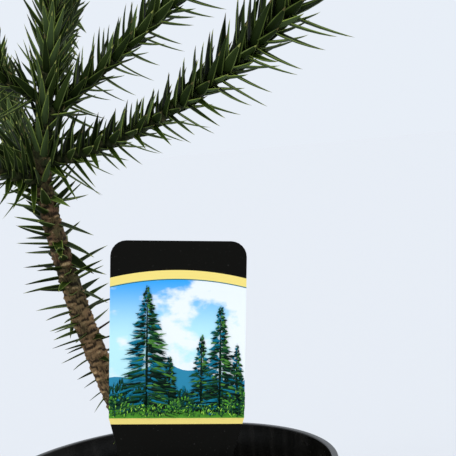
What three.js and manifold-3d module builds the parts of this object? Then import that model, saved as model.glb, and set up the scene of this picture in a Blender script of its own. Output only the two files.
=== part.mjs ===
// A monkey puzzle seedling in a round nursery pot. The stem leans out of the pot and is drawn back
// upright, and carries its branches in three loose whorls. Stiff pointed leaves stand in a spiral
// on the stem and on every branch. A plant label is pushed into the potting mix in front of it.
// Millimetres, +Z up, origin at the centre of the pot's flat underside, the label towards -Y.
import * as THREE from "three";
import { mergeVertices } from "three/addons/utils/BufferGeometryUtils.js";
import Module from "manifold-3d";

const wasm = await Module();
wasm.setup();

const CLEARANCE = 0.3; // left between pieces that touch on the real plant
const SLIVER = 0.02; // edges shorter than this are smoothed away where solids are joined
const DEGREE = Math.PI / 180;
const GOLDEN_ANGLE = 137.508 * DEGREE; // turn from one leaf to the next round its stem

// Pot
const POT_HEIGHT = 150;
const POT_SIDES = 48;
const RIM_RADIUS = 95; // outside of the rolled lip
const LIP_WIDTH = 4.6;
const LIP_DEPTH = 8;
const LIP_ROUNDING = 1;
const WALL = 1.6;
const FLOOR = 2.2;
const COLLAR_DEPTH = 30; // the straight band under the lip
const COLLAR_RADIUS = 91.8;
const COLLAR_STEP = 2;
const BASE_RADIUS = 72;
const BASE_BEVEL = 3;
const DRAIN_COUNT = 8;
const DRAIN_RADIUS = 5;
const DRAIN_SIDES = 10;
const DRAIN_CIRCLE = 56;

// Potting mix, a low mound
const SOIL_BELOW_RIM = 26;
const SOIL_TOP = POT_HEIGHT - SOIL_BELOW_RIM;
const SOIL_LEVEL_RADIUS = 16; // flat round the stem's foot
const SOIL_SHOULDER_RADIUS = 50;
const SOIL_SHOULDER_DROP = 0.8;

// Plant label: an upright panel that tapers to a spike
const LABEL_WIDTH = 68.4;
const LABEL_PANEL_HEIGHT = 93;
const LABEL_CORNER = 8;
const LABEL_CORNER_STEPS = 6;
const LABEL_THICKNESS = 0.9;
const LABEL_NECK_WIDTH = 34;
const LABEL_NECK_DROP = 60; // from the panel to the neck, which is about at the mix
const LABEL_SPIKE = 36;
const LABEL_FOOT = [8, -45, 186.2]; // middle of the panel's lower edge
const LABEL_LEAN = 6.3 * DEGREE; // clockwise, seen from the front

// Stem: a smooth line through these points, [x, y, height above the mix]
const STEM_KNOTS = [
  [0, 0, 0],
  [-30, 2, 92],
  [-48, 0, 196],
  [-36.5, -2, 256],
  [-24, 0, 350],
  [-19, 2, 428],
];
const STEM_POINTS_PER_KNOT = 8;
const STEM_SIDES = 12;
const STEM_RINGS = 26;
const STEM_FOOT_RADIUS = 6.8;
const STEM_TIP_RADIUS = 1.6;
const FLARE_RADIUS = 2; // extra at the ground
const FLARE_HEIGHT = 9;

// Leafy skin of the stem, in stretches between the whorls: from and to are measured along the stem
const SKIN_WALL = 1;
const SKIN_SIDES = 8;
const SKIN_RING_SPACING = 16;
const SKIN_LEAF_STEP = 3.4;
const BUD_LENGTH = 8; // the closed leaves reach this far past the stem's tip
const BUD_NARROWING = 0.6;
const STEM_SKINS = [
  { name: "stem_leaves_lower", from: 6, to: 184 },
  { name: "stem_leaves_upper", from: 214, to: 226 },
  { name: "leader_leaves", from: 256, to: 333 },
  { name: "leader_tip_leaves", from: 362, to: Infinity },
];

// Branches in their whorls. along is measured up the stem, azimuth from +X towards +Y. The rise
// above level changes from root to tip, and leaf is the length of a grown leaf.
const BRANCHES = [
  { name: "low_1", along: 205, azimuth: -36, length: 235, rise: [10, 52], bend: 1.3, leaf: 28 },
  { name: "low_2", along: 194, azimuth: 103, length: 215, rise: [14, 42], bend: 1.2, leaf: 26 },
  { name: "low_3", along: 207, azimuth: 172, length: 222, rise: [12, 44], bend: 1.1, leaf: 27 },
  { name: "low_4", along: 196, azimuth: 232, length: 208, rise: [12, 46], bend: 1.2, leaf: 26 },
  { name: "mid_1", along: 232, azimuth: -8, length: 190, rise: [32, 50], bend: 1, leaf: 28 },
  { name: "mid_2", along: 245, azimuth: 80, length: 172, rise: [30, 50], bend: 1, leaf: 26 },
  { name: "mid_3", along: 239, azimuth: 202, length: 178, rise: [28, 52], bend: 1, leaf: 26 },
  { name: "top_1", along: 340, azimuth: 44, length: 128, rise: [32, 56], bend: 1, leaf: 24 },
  { name: "top_2", along: 349, azimuth: 137, length: 118, rise: [34, 58], bend: 1, leaf: 23 },
  { name: "top_3", along: 342, azimuth: 221, length: 126, rise: [32, 56], bend: 1, leaf: 24 },
  { name: "top_4", along: 351, azimuth: 312, length: 116, rise: [36, 58], bend: 1, leaf: 23 },
];
const BRANCH_POINTS = 40;
const BRANCH_ROOT_RADIUS = 0.8; // with a share of the branch's length added
const BRANCH_ROOT_SHARE = 0.01;
const BRANCH_TIP_RADIUS = 1.1;
const BRANCH_COLLAR = 0.3; // share by which a branch swells at the stem
const BRANCH_COLLAR_REACH = 8;
const BRANCH_LEAF_STEP = 4;
const BOUGH_LENGTH = 18; // from the stem's middle line to where the foliage starts
const BOUGH_SIDES = 6;
const BOUGH_RINGS = 3;
const TWIG_SIDES = 5;
const TWIG_RING_SPACING = 30;

// Leaves, wider than life because each stands for several
const LEAF_WIDTH = 0.3; // share of its length
const LEAF_THICKNESS = 0.055;
const LEAF_WIDEST = 0.3; // how far up the leaf it is widest
const LEAF_SPACING = 0.8; // a leaf lies this much nearer to its own stem's skin than to any other
const STEM_LEAF = {
  length: [8, 22, 25], // at the foot, under the low whorl and on the leader
  growth: [60, 190, 260], // where on the stem those lengths are reached
  open: [98, 58], // angle to the stem at the foot and on the leader, in degrees
};
const BRANCH_LEAF = {
  rootShare: 0.62, // length at the branch's root, as a share of the grown leaf
  grownBy: 0.6, // share of the branch by which leaves are full grown
  open: [64, 52],
};
const LEAF_VARIATION = { turn: 7 * DEGREE, length: 0.07, open: 5 * DEGREE };
const TIP_LEAF = { open: 16, stemShare: 0.8, branchShare: 0.72, stemReach: 30, branchReach: 0.12 };

const POT_BLACK = { color: 0x141515, roughness: 0.42, metalness: 0 };
const PEAT_BROWN = { color: 0x35261a, roughness: 0.95, metalness: 0 };
const BARK_BROWN = { color: 0x4a3a2c, roughness: 0.9, metalness: 0 };
const LEAF_GREEN = { color: 0x24401c, roughness: 0.45, metalness: 0 };
const LABEL_BLACK = { color: 0x161616, roughness: 0.3, metalness: 0 };

const { lerp, smoothstep } = THREE.MathUtils;

// A closed geometry as a solid that can be joined and cut.
function solidOf(geometry) {
  const bare = geometry.clone();
  bare.deleteAttribute("normal");
  bare.deleteAttribute("uv");
  const merged = mergeVertices(bare, 1e-4);
  return new wasm.Manifold(
    new wasm.Mesh({
      numProp: 3,
      vertProperties: new Float32Array(merged.attributes.position.array),
      triVerts: new Uint32Array(merged.index.array),
    }),
  );
}

// A solid as a geometry.
function geometryOf(solid) {
  const mesh = solid.getMesh();
  const geometry = new THREE.BufferGeometry();
  geometry.setAttribute("position", new THREE.BufferAttribute(mesh.vertProperties, 3));
  geometry.setIndex(new THREE.BufferAttribute(mesh.triVerts, 1));
  geometry.computeVertexNormals();
  return geometry;
}

// The largest body of a solid, without hair-thin slivers or scraps left loose by a cut.
function largestBody(solid) {
  const bodies = solid.simplify(SLIVER).decompose();
  return bodies.reduce((best, body) => (body.volume() > best.volume() ? body : best));
}

function namedMesh(name, geometry, material) {
  const mesh = new THREE.Mesh(geometry, new THREE.MeshStandardMaterial(material));
  mesh.name = name;
  return mesh;
}

// A round limb along a line of points, with a radius for each distance along it.
class Limb {
  constructor(points, reference, radiusAt) {
    this.points = points;
    this.reference = reference;
    this.radiusAt = radiusAt;
    this.reached = [0];
    for (let i = 1; i < points.length; i++) {
      this.reached.push(this.reached[i - 1] + points[i].distanceTo(points[i - 1]));
    }
    this.length = this.reached[points.length - 1];
  }

  // Position and directions at a distance along the line. Outside its ends the line runs straight on.
  at(distance) {
    let i = 1;
    while (i < this.points.length - 1 && this.reached[i] < distance) i++;
    const start = this.points[i - 1];
    const along = this.points[i].clone().sub(start).normalize();
    const side = this.reference.clone().cross(along).normalize();
    const up = side.clone().cross(along);
    const position = start.clone().addScaledVector(along, distance - this.reached[i - 1]);
    return { position, along, side, up };
  }

  // How far a point lies outside the limb's skin, negative inside it.
  gapTo(point) {
    const nearest = new THREE.Vector3();
    let least = Infinity;
    for (let i = 1; i < this.points.length; i++) {
      const piece = new THREE.Line3(this.points[i - 1], this.points[i]);
      piece.closestPointToPoint(point, true, nearest);
      least = Math.min(least, nearest.distanceTo(point) - this.radiusAt(this.reached[i]));
    }
    return least;
  }

  // A stretch of the limb with flat ends: a cylinder whose rings are laid along the line.
  solid(from, to, sides, rings, extraRadius = 0) {
    const geometry = new THREE.CylinderGeometry(1, 1, 1, sides, rings);
    const position = geometry.attributes.position;
    const vertex = new THREE.Vector3();
    for (let i = 0; i < position.count; i++) {
      vertex.fromBufferAttribute(position, i);
      const distance = lerp(from, to, vertex.y + 0.5);
      const radius = this.radiusAt(distance) + extraRadius;
      const place = this.at(distance);
      place.position.addScaledVector(place.side, vertex.x * radius);
      place.position.addScaledVector(place.up, vertex.z * radius);
      position.setXYZ(i, place.position.x, place.position.y, place.position.z);
    }
    return solidOf(geometry);
  }
}

function stemLimb() {
  const knots = STEM_KNOTS.map(([x, y, height]) => new THREE.Vector3(x, y, SOIL_TOP + height));
  const curve = new THREE.CatmullRomCurve3(knots, false, "catmullrom", 0.5);
  const points = curve.getPoints(STEM_POINTS_PER_KNOT * (knots.length - 1));
  const length = new Limb(points).length;
  const radiusAt = (distance) => {
    const taper = lerp(STEM_FOOT_RADIUS, STEM_TIP_RADIUS, Math.min(1, distance / length));
    return taper + FLARE_RADIUS * Math.exp(-distance / FLARE_HEIGHT);
  };
  return new Limb(points, new THREE.Vector3(0, 1, 0), radiusAt);
}

// The leafy skin round the stem, which narrows past the stem's tip to the bud.
function skinLimb(stem) {
  const radiusAt = (distance) => {
    const bud = smoothstep(distance, stem.length, stem.length + BUD_LENGTH);
    return (stem.radiusAt(distance) + CLEARANCE + SKIN_WALL) * (1 - BUD_NARROWING * bud);
  };
  return new Limb(stem.points, stem.reference, radiusAt);
}

// A branch starts on the stem's middle line and curves upwards.
function branchLimb(stem, { along, azimuth, length, rise, bend }) {
  const points = [stem.at(along).position];
  const heading = azimuth * DEGREE;
  for (let i = 0; i < BRANCH_POINTS; i++) {
    const share = ((i + 0.5) / BRANCH_POINTS) ** bend;
    const climb = lerp(rise[0], rise[1], share) * DEGREE;
    const level = Math.cos(climb);
    const step = new THREE.Vector3(level * Math.cos(heading), level * Math.sin(heading), Math.sin(climb));
    points.push(points[i].clone().addScaledVector(step, length / BRANCH_POINTS));
  }
  const rootRadius = BRANCH_ROOT_RADIUS + BRANCH_ROOT_SHARE * length;
  const radiusAt = (distance) => {
    const taper = lerp(rootRadius, BRANCH_TIP_RADIUS, Math.min(1, distance / length));
    return taper * (1 + BRANCH_COLLAR * Math.exp(-distance / BRANCH_COLLAR_REACH));
  };
  return new Limb(points, new THREE.Vector3(0, 0, 1), radiusAt);
}

// Where a leaf stands: its root is on the limb's middle line, its tip its length past the skin.
function leafPlace(limb, distance, turn, { length, open }) {
  const { position, along, side, up } = limb.at(distance);
  const outward = side.multiplyScalar(Math.cos(turn)).addScaledVector(up, Math.sin(turn));
  const across = along.clone().cross(outward);
  const direction = along.multiplyScalar(Math.cos(open)).addScaledVector(outward, Math.sin(open));
  const reach = length + limb.radiusAt(distance) / Math.max(Math.sin(open), 0.5);
  return { root: position, direction, across, reach, length };
}

// A leaf of eight faces, flat and pointed at both ends, with its widest part low down.
function leafSolid({ root, direction, across, reach, length }) {
  const geometry = new THREE.OctahedronGeometry(1);
  const position = geometry.attributes.position;
  const normal = direction.clone().cross(across);
  const shoulder = reach - length * (1 - LEAF_WIDEST);
  const vertex = new THREE.Vector3();
  for (let i = 0; i < position.count; i++) {
    vertex.fromBufferAttribute(position, i);
    const shares = [0, shoulder / reach, 1];
    const point = root.clone();
    point.addScaledVector(direction, reach * shares[Math.round(vertex.x) + 1]);
    point.addScaledVector(across, (vertex.y * LEAF_WIDTH * length) / 2);
    point.addScaledVector(normal, (vertex.z * LEAF_THICKNESS * length) / 2);
    position.setXYZ(i, point.x, point.y, point.z);
  }
  return solidOf(geometry);
}

// Whether a leaf lies nearer to its own limb than to every other, at both edges and at its tip.
function keepsItsSpace({ root, direction, across, reach, length }, own, others) {
  const shoulder = 1 - (length / reach) * (1 - LEAF_WIDEST);
  const halfWidth = (LEAF_WIDTH * length) / 2;
  return [shoulder, (1 + shoulder) / 2, 1].every((share) =>
    [-1, 1].every((edge) => {
      const offset = (edge * halfWidth * (1 - share)) / (1 - shoulder);
      const point = root.clone().addScaledVector(direction, reach * share);
      point.addScaledVector(across, offset);
      const limit = own.gapTo(point) + LEAF_SPACING;
      return others.every((other) => other.gapTo(point) > limit);
    }),
  );
}

// Length and opening angle of a leaf on the stem: short and bent down at the foot, closed at the tip.
function stemLeaf(stem, distance) {
  const [footLength, whorlLength, leaderLength] = STEM_LEAF.length;
  const [start, whorl, leader] = STEM_LEAF.growth;
  const grown = lerp(footLength, whorlLength, smoothstep(distance, start, whorl));
  const length = lerp(grown, leaderLength, smoothstep(distance, whorl, leader));
  const open = lerp(STEM_LEAF.open[0], STEM_LEAF.open[1], smoothstep(distance, start, leader));
  const tip = stem.length + BUD_LENGTH;
  const closing = smoothstep(distance, tip - TIP_LEAF.stemReach, tip);
  return {
    length: length * lerp(1, TIP_LEAF.stemShare, closing),
    open: lerp(open, TIP_LEAF.open, closing) * DEGREE,
  };
}

// Length and opening angle of a leaf on a branch: shorter near the root, closed at the tip.
function branchLeaf(branch, distance) {
  const share = distance / branch.length;
  const closing = smoothstep(share, 1 - TIP_LEAF.branchReach, 1);
  const grown = lerp(BRANCH_LEAF.rootShare, 1, smoothstep(share, 0, BRANCH_LEAF.grownBy));
  const open = lerp(BRANCH_LEAF.open[0], BRANCH_LEAF.open[1], share);
  return {
    length: branch.leaf * grown * lerp(1, TIP_LEAF.branchShare, closing),
    open: lerp(open, TIP_LEAF.open, closing) * DEGREE,
  };
}

// Numbers between -1 and 1 that are the same on every run.
function seededNumbers(seed) {
  let state = seed;
  return () => {
    state = (state + 0x6d2b79f5) | 0;
    let mixed = Math.imul(state ^ (state >>> 15), 1 | state);
    mixed = (mixed + Math.imul(mixed ^ (mixed >>> 7), 61 | mixed)) ^ mixed;
    return ((mixed ^ (mixed >>> 14)) >>> 0) / 2 ** 31 - 1;
  };
}

// The leaves of one stretch of a limb, in a spiral, without those that would leave their space.
function leafSpiral(limb, { from, to, step, seed, leafAt }, others) {
  const random = seededNumbers(seed);
  const leaves = [];
  for (let k = 0; from + k * step < to; k++) {
    const distance = from + k * step;
    const turn = seed + k * GOLDEN_ANGLE + random() * LEAF_VARIATION.turn;
    const { length, open } = leafAt(distance);
    const leaf = leafPlace(limb, distance, turn, {
      length: length * (1 + random() * LEAF_VARIATION.length),
      open: open + random() * LEAF_VARIATION.open,
    });
    if (keepsItsSpace(leaf, limb, others)) leaves.push(leafSolid(leaf));
  }
  return leaves;
}

// The pot's section as [radius, height], down the inside and up the outside.
function potProfile() {
  const collarFoot = POT_HEIGHT - COLLAR_DEPTH;
  const bodyTop = COLLAR_RADIUS - COLLAR_STEP;
  const inside = [
    [RIM_RADIUS - LIP_WIDTH, POT_HEIGHT - LIP_ROUNDING],
    [COLLAR_RADIUS - WALL, collarFoot + COLLAR_STEP],
    [bodyTop - WALL, collarFoot],
    [BASE_RADIUS - WALL, FLOOR],
  ];
  const outside = [
    [BASE_RADIUS - BASE_BEVEL, 0],
    [BASE_RADIUS, BASE_BEVEL],
    [bodyTop, collarFoot - COLLAR_STEP],
    [COLLAR_RADIUS, collarFoot],
    [COLLAR_RADIUS, POT_HEIGHT - LIP_DEPTH],
    [RIM_RADIUS, POT_HEIGHT - LIP_DEPTH],
    [RIM_RADIUS, POT_HEIGHT - LIP_ROUNDING],
    [RIM_RADIUS - LIP_ROUNDING, POT_HEIGHT],
    [RIM_RADIUS - LIP_WIDTH + LIP_ROUNDING, POT_HEIGHT],
  ];
  return { inside, outside };
}

function turned(profile) {
  const points = profile.map(([radius, height]) => new THREE.Vector2(radius, height));
  return solidOf(new THREE.LatheGeometry(points, POT_SIDES).rotateX(Math.PI / 2));
}

function makePot() {
  const { inside, outside } = potProfile();
  let pot = turned([[0, 0], ...outside, ...inside, [0, FLOOR]]);
  for (let i = 0; i < DRAIN_COUNT; i++) {
    const turn = (i * 2 * Math.PI) / DRAIN_COUNT;
    const drill = new THREE.CylinderGeometry(DRAIN_RADIUS, DRAIN_RADIUS, FLOOR * 4, DRAIN_SIDES);
    drill.rotateX(Math.PI / 2);
    drill.translate(DRAIN_CIRCLE * Math.cos(turn), DRAIN_CIRCLE * Math.sin(turn), 0);
    pot = pot.subtract(solidOf(drill));
  }
  return namedMesh("pot", geometryOf(pot), POT_BLACK);
}

// The label as a flat plate at its place, grown on all sides by a margin.
function labelPlate(margin) {
  const half = LABEL_WIDTH / 2 + margin;
  const neck = LABEL_NECK_WIDTH / 2 + margin;
  const cornerX = half - LABEL_CORNER;
  const cornerZ = LABEL_PANEL_HEIGHT + margin - LABEL_CORNER;
  const outline = new THREE.Shape();
  outline.moveTo(0, -LABEL_NECK_DROP - LABEL_SPIKE - margin);
  outline.lineTo(neck, -LABEL_NECK_DROP);
  outline.lineTo(half, 0);
  outline.absarc(cornerX, cornerZ, LABEL_CORNER, 0, Math.PI / 2, false);
  outline.absarc(-cornerX, cornerZ, LABEL_CORNER, Math.PI / 2, Math.PI, false);
  outline.lineTo(-half, 0);
  outline.lineTo(-neck, -LABEL_NECK_DROP);
  outline.closePath();
  const depth = LABEL_THICKNESS + margin * 2;
  const options = { depth, bevelEnabled: false, curveSegments: LABEL_CORNER_STEPS };
  const plate = new THREE.ExtrudeGeometry(outline, options);
  plate.translate(0, 0, -depth / 2);
  plate.rotateX(Math.PI / 2);
  plate.rotateY(LABEL_LEAN);
  plate.translate(...LABEL_FOOT);
  return plate;
}

function makeLabel() {
  return namedMesh("plant_label", labelPlate(0), LABEL_BLACK);
}

// The potting mix fills the pot up to the collar's foot, rises to the stem, and is slit for the label.
function makePottingMix() {
  const { inside } = potProfile();
  const [, , wallTop, wallFoot] = inside;
  const gap = CLEARANCE / Math.cos(Math.PI / POT_SIDES);
  const profile = [
    [0, FLOOR + CLEARANCE],
    [wallFoot[0] - gap, FLOOR + CLEARANCE],
    [wallTop[0] - gap, wallTop[1]],
    [SOIL_SHOULDER_RADIUS, SOIL_TOP - SOIL_SHOULDER_DROP],
    [SOIL_LEVEL_RADIUS, SOIL_TOP],
    [0, SOIL_TOP],
  ];
  const mix = turned(profile).subtract(solidOf(labelPlate(CLEARANCE)));
  return namedMesh("potting_mix", geometryOf(mix), PEAT_BROWN);
}

// The whole stem, cut level just above the mix.
function makeTrunk(stem) {
  const below = FLARE_HEIGHT;
  const ground = new THREE.BoxGeometry(RIM_RADIUS, RIM_RADIUS, below * 2);
  ground.translate(0, 0, SOIL_TOP + CLEARANCE - below);
  const solid = stem.solid(-below / 2, stem.length, STEM_SIDES, STEM_RINGS);
  return namedMesh("trunk", geometryOf(solid.subtract(solidOf(ground))), BARK_BROWN);
}

// A bare bough, from the stem's skin to where its foliage starts.
function makeBough(name, limb, cutter) {
  const solid = limb.solid(0, BOUGH_LENGTH, BOUGH_SIDES, BOUGH_RINGS).subtract(cutter);
  return namedMesh(`bough_${name}`, geometryOf(largestBody(solid)), BARK_BROWN);
}

// The foliage of one branch: its own twig, which goes on from the bough, with the leaves fused on.
function makeBranchFoliage(branch, limb, others) {
  const from = BOUGH_LENGTH + CLEARANCE;
  const rings = Math.round(branch.length / TWIG_RING_SPACING);
  const twig = limb.solid(from, branch.length, TWIG_SIDES, rings);
  const spiral = {
    from: from + BRANCH_LEAF_STEP,
    to: branch.length,
    step: BRANCH_LEAF_STEP,
    seed: branch.azimuth,
    leafAt: (distance) => branchLeaf(branch, distance),
  };
  const solid = wasm.Manifold.union([twig, ...leafSpiral(limb, spiral, others)]);
  return namedMesh(`foliage_${branch.name}`, geometryOf(largestBody(solid)), LEAF_GREEN);
}

// One stretch of the leafy skin, a sleeve round the stem with the leaves fused on.
function makeStemFoliage(stem, skin, stretch, others, cutter) {
  const end = Math.min(stretch.to, stem.length + BUD_LENGTH);
  const rings = Math.max(2, Math.round((end - stretch.from) / SKIN_RING_SPACING));
  const sleeve = skin.solid(stretch.from, end, SKIN_SIDES, rings);
  const spiral = {
    from: stretch.from + SKIN_LEAF_STEP / 2,
    to: end,
    step: SKIN_LEAF_STEP,
    seed: stretch.from,
    leafAt: (distance) => stemLeaf(stem, distance),
  };
  const solid = wasm.Manifold.union([sleeve, ...leafSpiral(skin, spiral, others)]).subtract(cutter);
  return namedMesh(stretch.name, geometryOf(largestBody(solid)), LEAF_GREEN);
}

const stem = stemLimb();
const skin = skinLimb(stem);
const limbs = BRANCHES.map((branch) => branchLimb(stem, branch));
const cutter = stem.solid(-CLEARANCE, stem.length + CLEARANCE, STEM_SIDES, STEM_RINGS, CLEARANCE);

const plant = new THREE.Group();
plant.add(makePot(), makePottingMix(), makeLabel(), makeTrunk(stem));
BRANCHES.forEach((branch, i) => {
  const others = [skin, ...limbs.toSpliced(i, 1)];
  plant.add(makeBough(branch.name, limbs[i], cutter));
  plant.add(makeBranchFoliage(branch, limbs[i], others));
});
for (const stretch of STEM_SKINS) {
  plant.add(makeStemFoliage(stem, skin, stretch, limbs, cutter));
}

export default plant;
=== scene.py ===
"""Looks of a monkey puzzle seedling in a nursery pot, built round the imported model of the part.

Sizes are in metres and angles in degrees. +Z is up, the origin is the middle of the pot's
underside, and the label stands on the -Y side. A distance "along" a limb is measured on its
middle line, from the ground for the stem and from the stem for a branch.
"""

import logging
import math
from collections.abc import Callable, Sequence
from dataclasses import dataclass
from enum import Enum
from functools import partial
from typing import Any

import bmesh
import bpy
import numpy as np
from mathutils import Matrix, Vector


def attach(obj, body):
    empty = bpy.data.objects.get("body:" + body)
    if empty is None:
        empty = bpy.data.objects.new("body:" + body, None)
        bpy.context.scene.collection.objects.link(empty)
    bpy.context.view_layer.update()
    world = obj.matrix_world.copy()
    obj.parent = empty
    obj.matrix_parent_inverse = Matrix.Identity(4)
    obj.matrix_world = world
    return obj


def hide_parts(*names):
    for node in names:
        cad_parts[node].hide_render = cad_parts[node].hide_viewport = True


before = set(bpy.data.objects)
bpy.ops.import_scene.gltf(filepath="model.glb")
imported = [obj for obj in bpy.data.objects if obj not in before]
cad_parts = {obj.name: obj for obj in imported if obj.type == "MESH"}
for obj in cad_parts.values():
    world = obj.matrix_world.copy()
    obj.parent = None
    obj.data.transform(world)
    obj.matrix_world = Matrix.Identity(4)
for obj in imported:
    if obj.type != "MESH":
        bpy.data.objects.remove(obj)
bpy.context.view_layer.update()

LOG = logging.getLogger("seedling")
BODY = "root"
GOLDEN_ANGLE = 137.508  # turn from one leaf to the next round its stem
GROUND = 0.124  # the potting mix's level

Triple = tuple[float, float, float]  # a point, a direction or a colour
Pair = tuple[float, float]  # a point in a plane, or two limits
Array = np.ndarray
Random = np.random.Generator
Shape = bmesh.types.BMesh
Material = bpy.types.Material
Piece = bpy.types.Object


class Slot(Enum):
    """The record's material slots."""

    POT = "pot_plastic"
    MIX = "potting_mix"
    LABEL = "label_print"
    BARK = "bark"
    LEAF = "leaf"


def smooth_step(value: Any, low: float, high: float) -> Array:
    """Rises smoothly from 0 where the value is low to 1 where it is high."""
    share = np.clip((np.asarray(value, float) - low) / (high - low), 0, 1)
    return share * share * (3 - 2 * share)


def band(value: Any, low: float, full: float, fade: float, gone: float) -> Array:
    """Rises from 0 at low to 1 at full, and falls from there at fade to 0 at gone."""
    return smooth_step(value, low, full) * (1 - smooth_step(value, fade, gone))


def lerp(start: Any, end: Any, share: Any) -> Any:
    """Goes from start to end as share goes from 0 to 1."""
    return start + (end - start) * share


def unit(vectors: Array) -> Array:
    """Scales each row to length 1."""
    return vectors / np.linalg.norm(vectors, axis=-1, keepdims=True)


def arc(centre: Pair, radius: float, start: float, end: float, steps: int) -> list[Pair]:
    """Points of an arc from the angle start to the angle end."""
    turns = [math.radians(lerp(start, end, k / steps)) for k in range(steps + 1)]
    return [(centre[0] + radius * math.cos(a), centre[1] + radius * math.sin(a)) for a in turns]


class Value:
    """A node output, so that shader maths is written as Python expressions."""

    def __init__(self, paint: "Paint", output: bpy.types.NodeSocket) -> None:
        """Wraps an output of one of the paint's nodes."""
        self.paint = paint
        self.output = output

    def _math(self, operation: str, first: Any, second: Any) -> "Value":
        """Adds one Math node and returns its result."""
        return self.paint.node("ShaderNodeMath", {"operation": operation}, {0: first, 1: second})

    def __add__(self, other: Any) -> "Value":
        """self + other."""
        return self._math("ADD", self, other)

    def __sub__(self, other: Any) -> "Value":
        """self - other."""
        return self._math("SUBTRACT", self, other)

    def __rsub__(self, other: Any) -> "Value":
        """other - self."""
        return self._math("SUBTRACT", other, self)

    def __mul__(self, other: Any) -> "Value":
        """self * other."""
        return self._math("MULTIPLY", self, other)

    __radd__ = __add__
    __rmul__ = __mul__

    def above(self, limit: float, width: float) -> "Value":
        """A mask that rises softly from 0 to 1, over a width round the limit."""
        inputs = {0: self, 1: limit - width / 2, 2: limit + width / 2, 3: 0.0, 4: 1.0}
        return self.paint.node("ShaderNodeMapRange", {"interpolation_type": "SMOOTHSTEP"}, inputs)


class Paint:
    """A node material with one Principled shader."""

    def __init__(self, name: str) -> None:
        """Starts an empty material of that name."""
        self.material = bpy.data.materials.new(name)
        self.material.use_nodes = True
        self.tree = self.material.node_tree

    def _feed(self, socket: bpy.types.NodeSocket, value: Any) -> None:
        """Links a Value to a socket, or sets the socket's own value.

        Args:
            socket: The input socket.
            value: The Value, number, vector or colour.
        """
        if isinstance(value, Value):
            self.tree.links.new(value.output, socket)
        else:
            socket.default_value = (*value, 1.0) if socket.type == "RGBA" else value

    def node(
        self,
        kind: str,
        settings: dict[str, Any] | None = None,
        inputs: dict[int | str, Any] | None = None,
        output: int | str = 0,
    ) -> Value:
        """Adds any node.

        Args:
            kind: The node's type name.
            settings: Its own settings, set first.
            inputs: Values or links for its sockets, by index or name.
            output: Which output is returned.

        Returns:
            The chosen output.
        """
        made = self.tree.nodes.new(kind)
        for key, value in (settings or {}).items():
            setattr(made, key, value)
        for key, value in (inputs or {}).items():
            self._feed(made.inputs[key], value)
        return Value(self, made.outputs[output])

    def place(self) -> Value:
        """The Object coordinates."""
        return self.node("ShaderNodeTexCoord", output="Object")

    def scaled(self, place: Value, scale: Triple) -> Value:
        """A place with its axes scaled, which stretches the patterns read there."""
        return self.node("ShaderNodeMapping", {"vector_type": "POINT"}, {"Vector": place, "Scale": scale})

    def attribute(self, name: str) -> Value:
        """A number stored on the mesh."""
        return self.node("ShaderNodeAttribute", {"attribute_name": name}, output="Fac")

    def noise(self, place: Value, scale: float, detail: float, rough: float) -> Value:
        """Fractal noise from about 0.2 to 0.8, with so many grains a metre and so many octaves."""
        inputs = {"Vector": place, "Scale": scale, "Detail": detail, "Roughness": rough}
        return self.node("ShaderNodeTexNoise", inputs=inputs)

    def mix(self, factor: Any, first: Any, second: Any) -> Value:
        """A colour between first and second."""
        return self.node("ShaderNodeMix", {"data_type": "RGBA"}, {0: factor, 6: first, 7: second}, 2)

    def bump(self, height: Value, distance: float, strength: float) -> Value:
        """A normal bumped by a height from 0 to 1, where 1 stands for the distance."""
        inputs = {"Height": height, "Distance": distance, "Strength": strength}
        return self.node("ShaderNodeBump", inputs=inputs)

    def finish(self, **sockets: Any) -> Material:
        """Sets sockets of the shader, named with underscores for spaces.

        Args:
            sockets: Their values or links.

        Returns:
            The finished material.
        """
        shader = self.tree.nodes["Principled BSDF"]
        for name, value in sockets.items():
            self._feed(shader.inputs[name.replace("_", " ")], value)
        return self.material


@dataclass(frozen=True)
class LeafTone:
    """One plain leathery colour that leaf faces are dealt."""

    colour: Triple
    roughness: float = 0.5

    def material(self, name: str) -> Material:
        """Makes the tone's material, once.

        Args:
            name: The tone's name.

        Returns:
            The material.
        """
        made = bpy.data.materials.get(f"leaf_{name}")
        if made is None:
            paint = Paint(f"leaf_{name}")
            made = paint.finish(Base_Color=self.colour, Roughness=self.roughness, Specular_IOR_Level=0.06)
        return made


# The edge tones are the margins' own pale green, brightened further as painted rim light.
LEAF_TONES = {
    "deep": LeafTone((0.008, 0.0155, 0.002)),
    "deep_under": LeafTone((0.0125, 0.0225, 0.004), 0.6),
    "edge_dull": LeafTone((0.088, 0.125, 0.026), 0.55),
    "spine_brown": LeafTone((0.1, 0.085, 0.03), 0.6),
    "dark": LeafTone((0.015, 0.029, 0.003)),
    "dark_under": LeafTone((0.021, 0.036, 0.0065), 0.6),
    "edge_pale": LeafTone((0.16, 0.21, 0.06), 0.55),
    "spine_pale": LeafTone((0.25, 0.27, 0.07), 0.6),
    "middle": LeafTone((0.029, 0.053, 0.0065)),
    "middle_under": LeafTone((0.058, 0.09, 0.03), 0.6),
    "edge_fresh": LeafTone((0.26, 0.345, 0.07), 0.55),
    "lively": LeafTone((0.09, 0.15, 0.016)),
    "dry": LeafTone((0.05, 0.028, 0.013), 0.75),
}


class LeafPart(Enum):
    """The parts of a leaf that have their own colour."""

    # A tone darker than the blade: painted shade where the leaf meets its limb.
    BASE = 0
    BLADE = 1
    UNDERSIDE = 2
    # Pale of its own, and brighter still as painted rim light.
    MARGIN = 3
    SPINE = 4


class LeafSuit(Enum):
    """The names of the tones that a leaf wears, in the order of LeafPart."""

    DEEP = ("deep", "deep", "deep_under", "edge_dull", "spine_brown")
    DARK = ("deep", "dark", "dark_under", "edge_pale", "spine_pale")
    MIDDLE = ("dark", "middle", "middle_under", "edge_fresh", "spine_pale")
    LIVELY = ("middle", "lively", "middle_under", "edge_fresh", "spine_pale")
    DRY = ("dry", "dry", "dry", "dry", "spine_brown")


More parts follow.
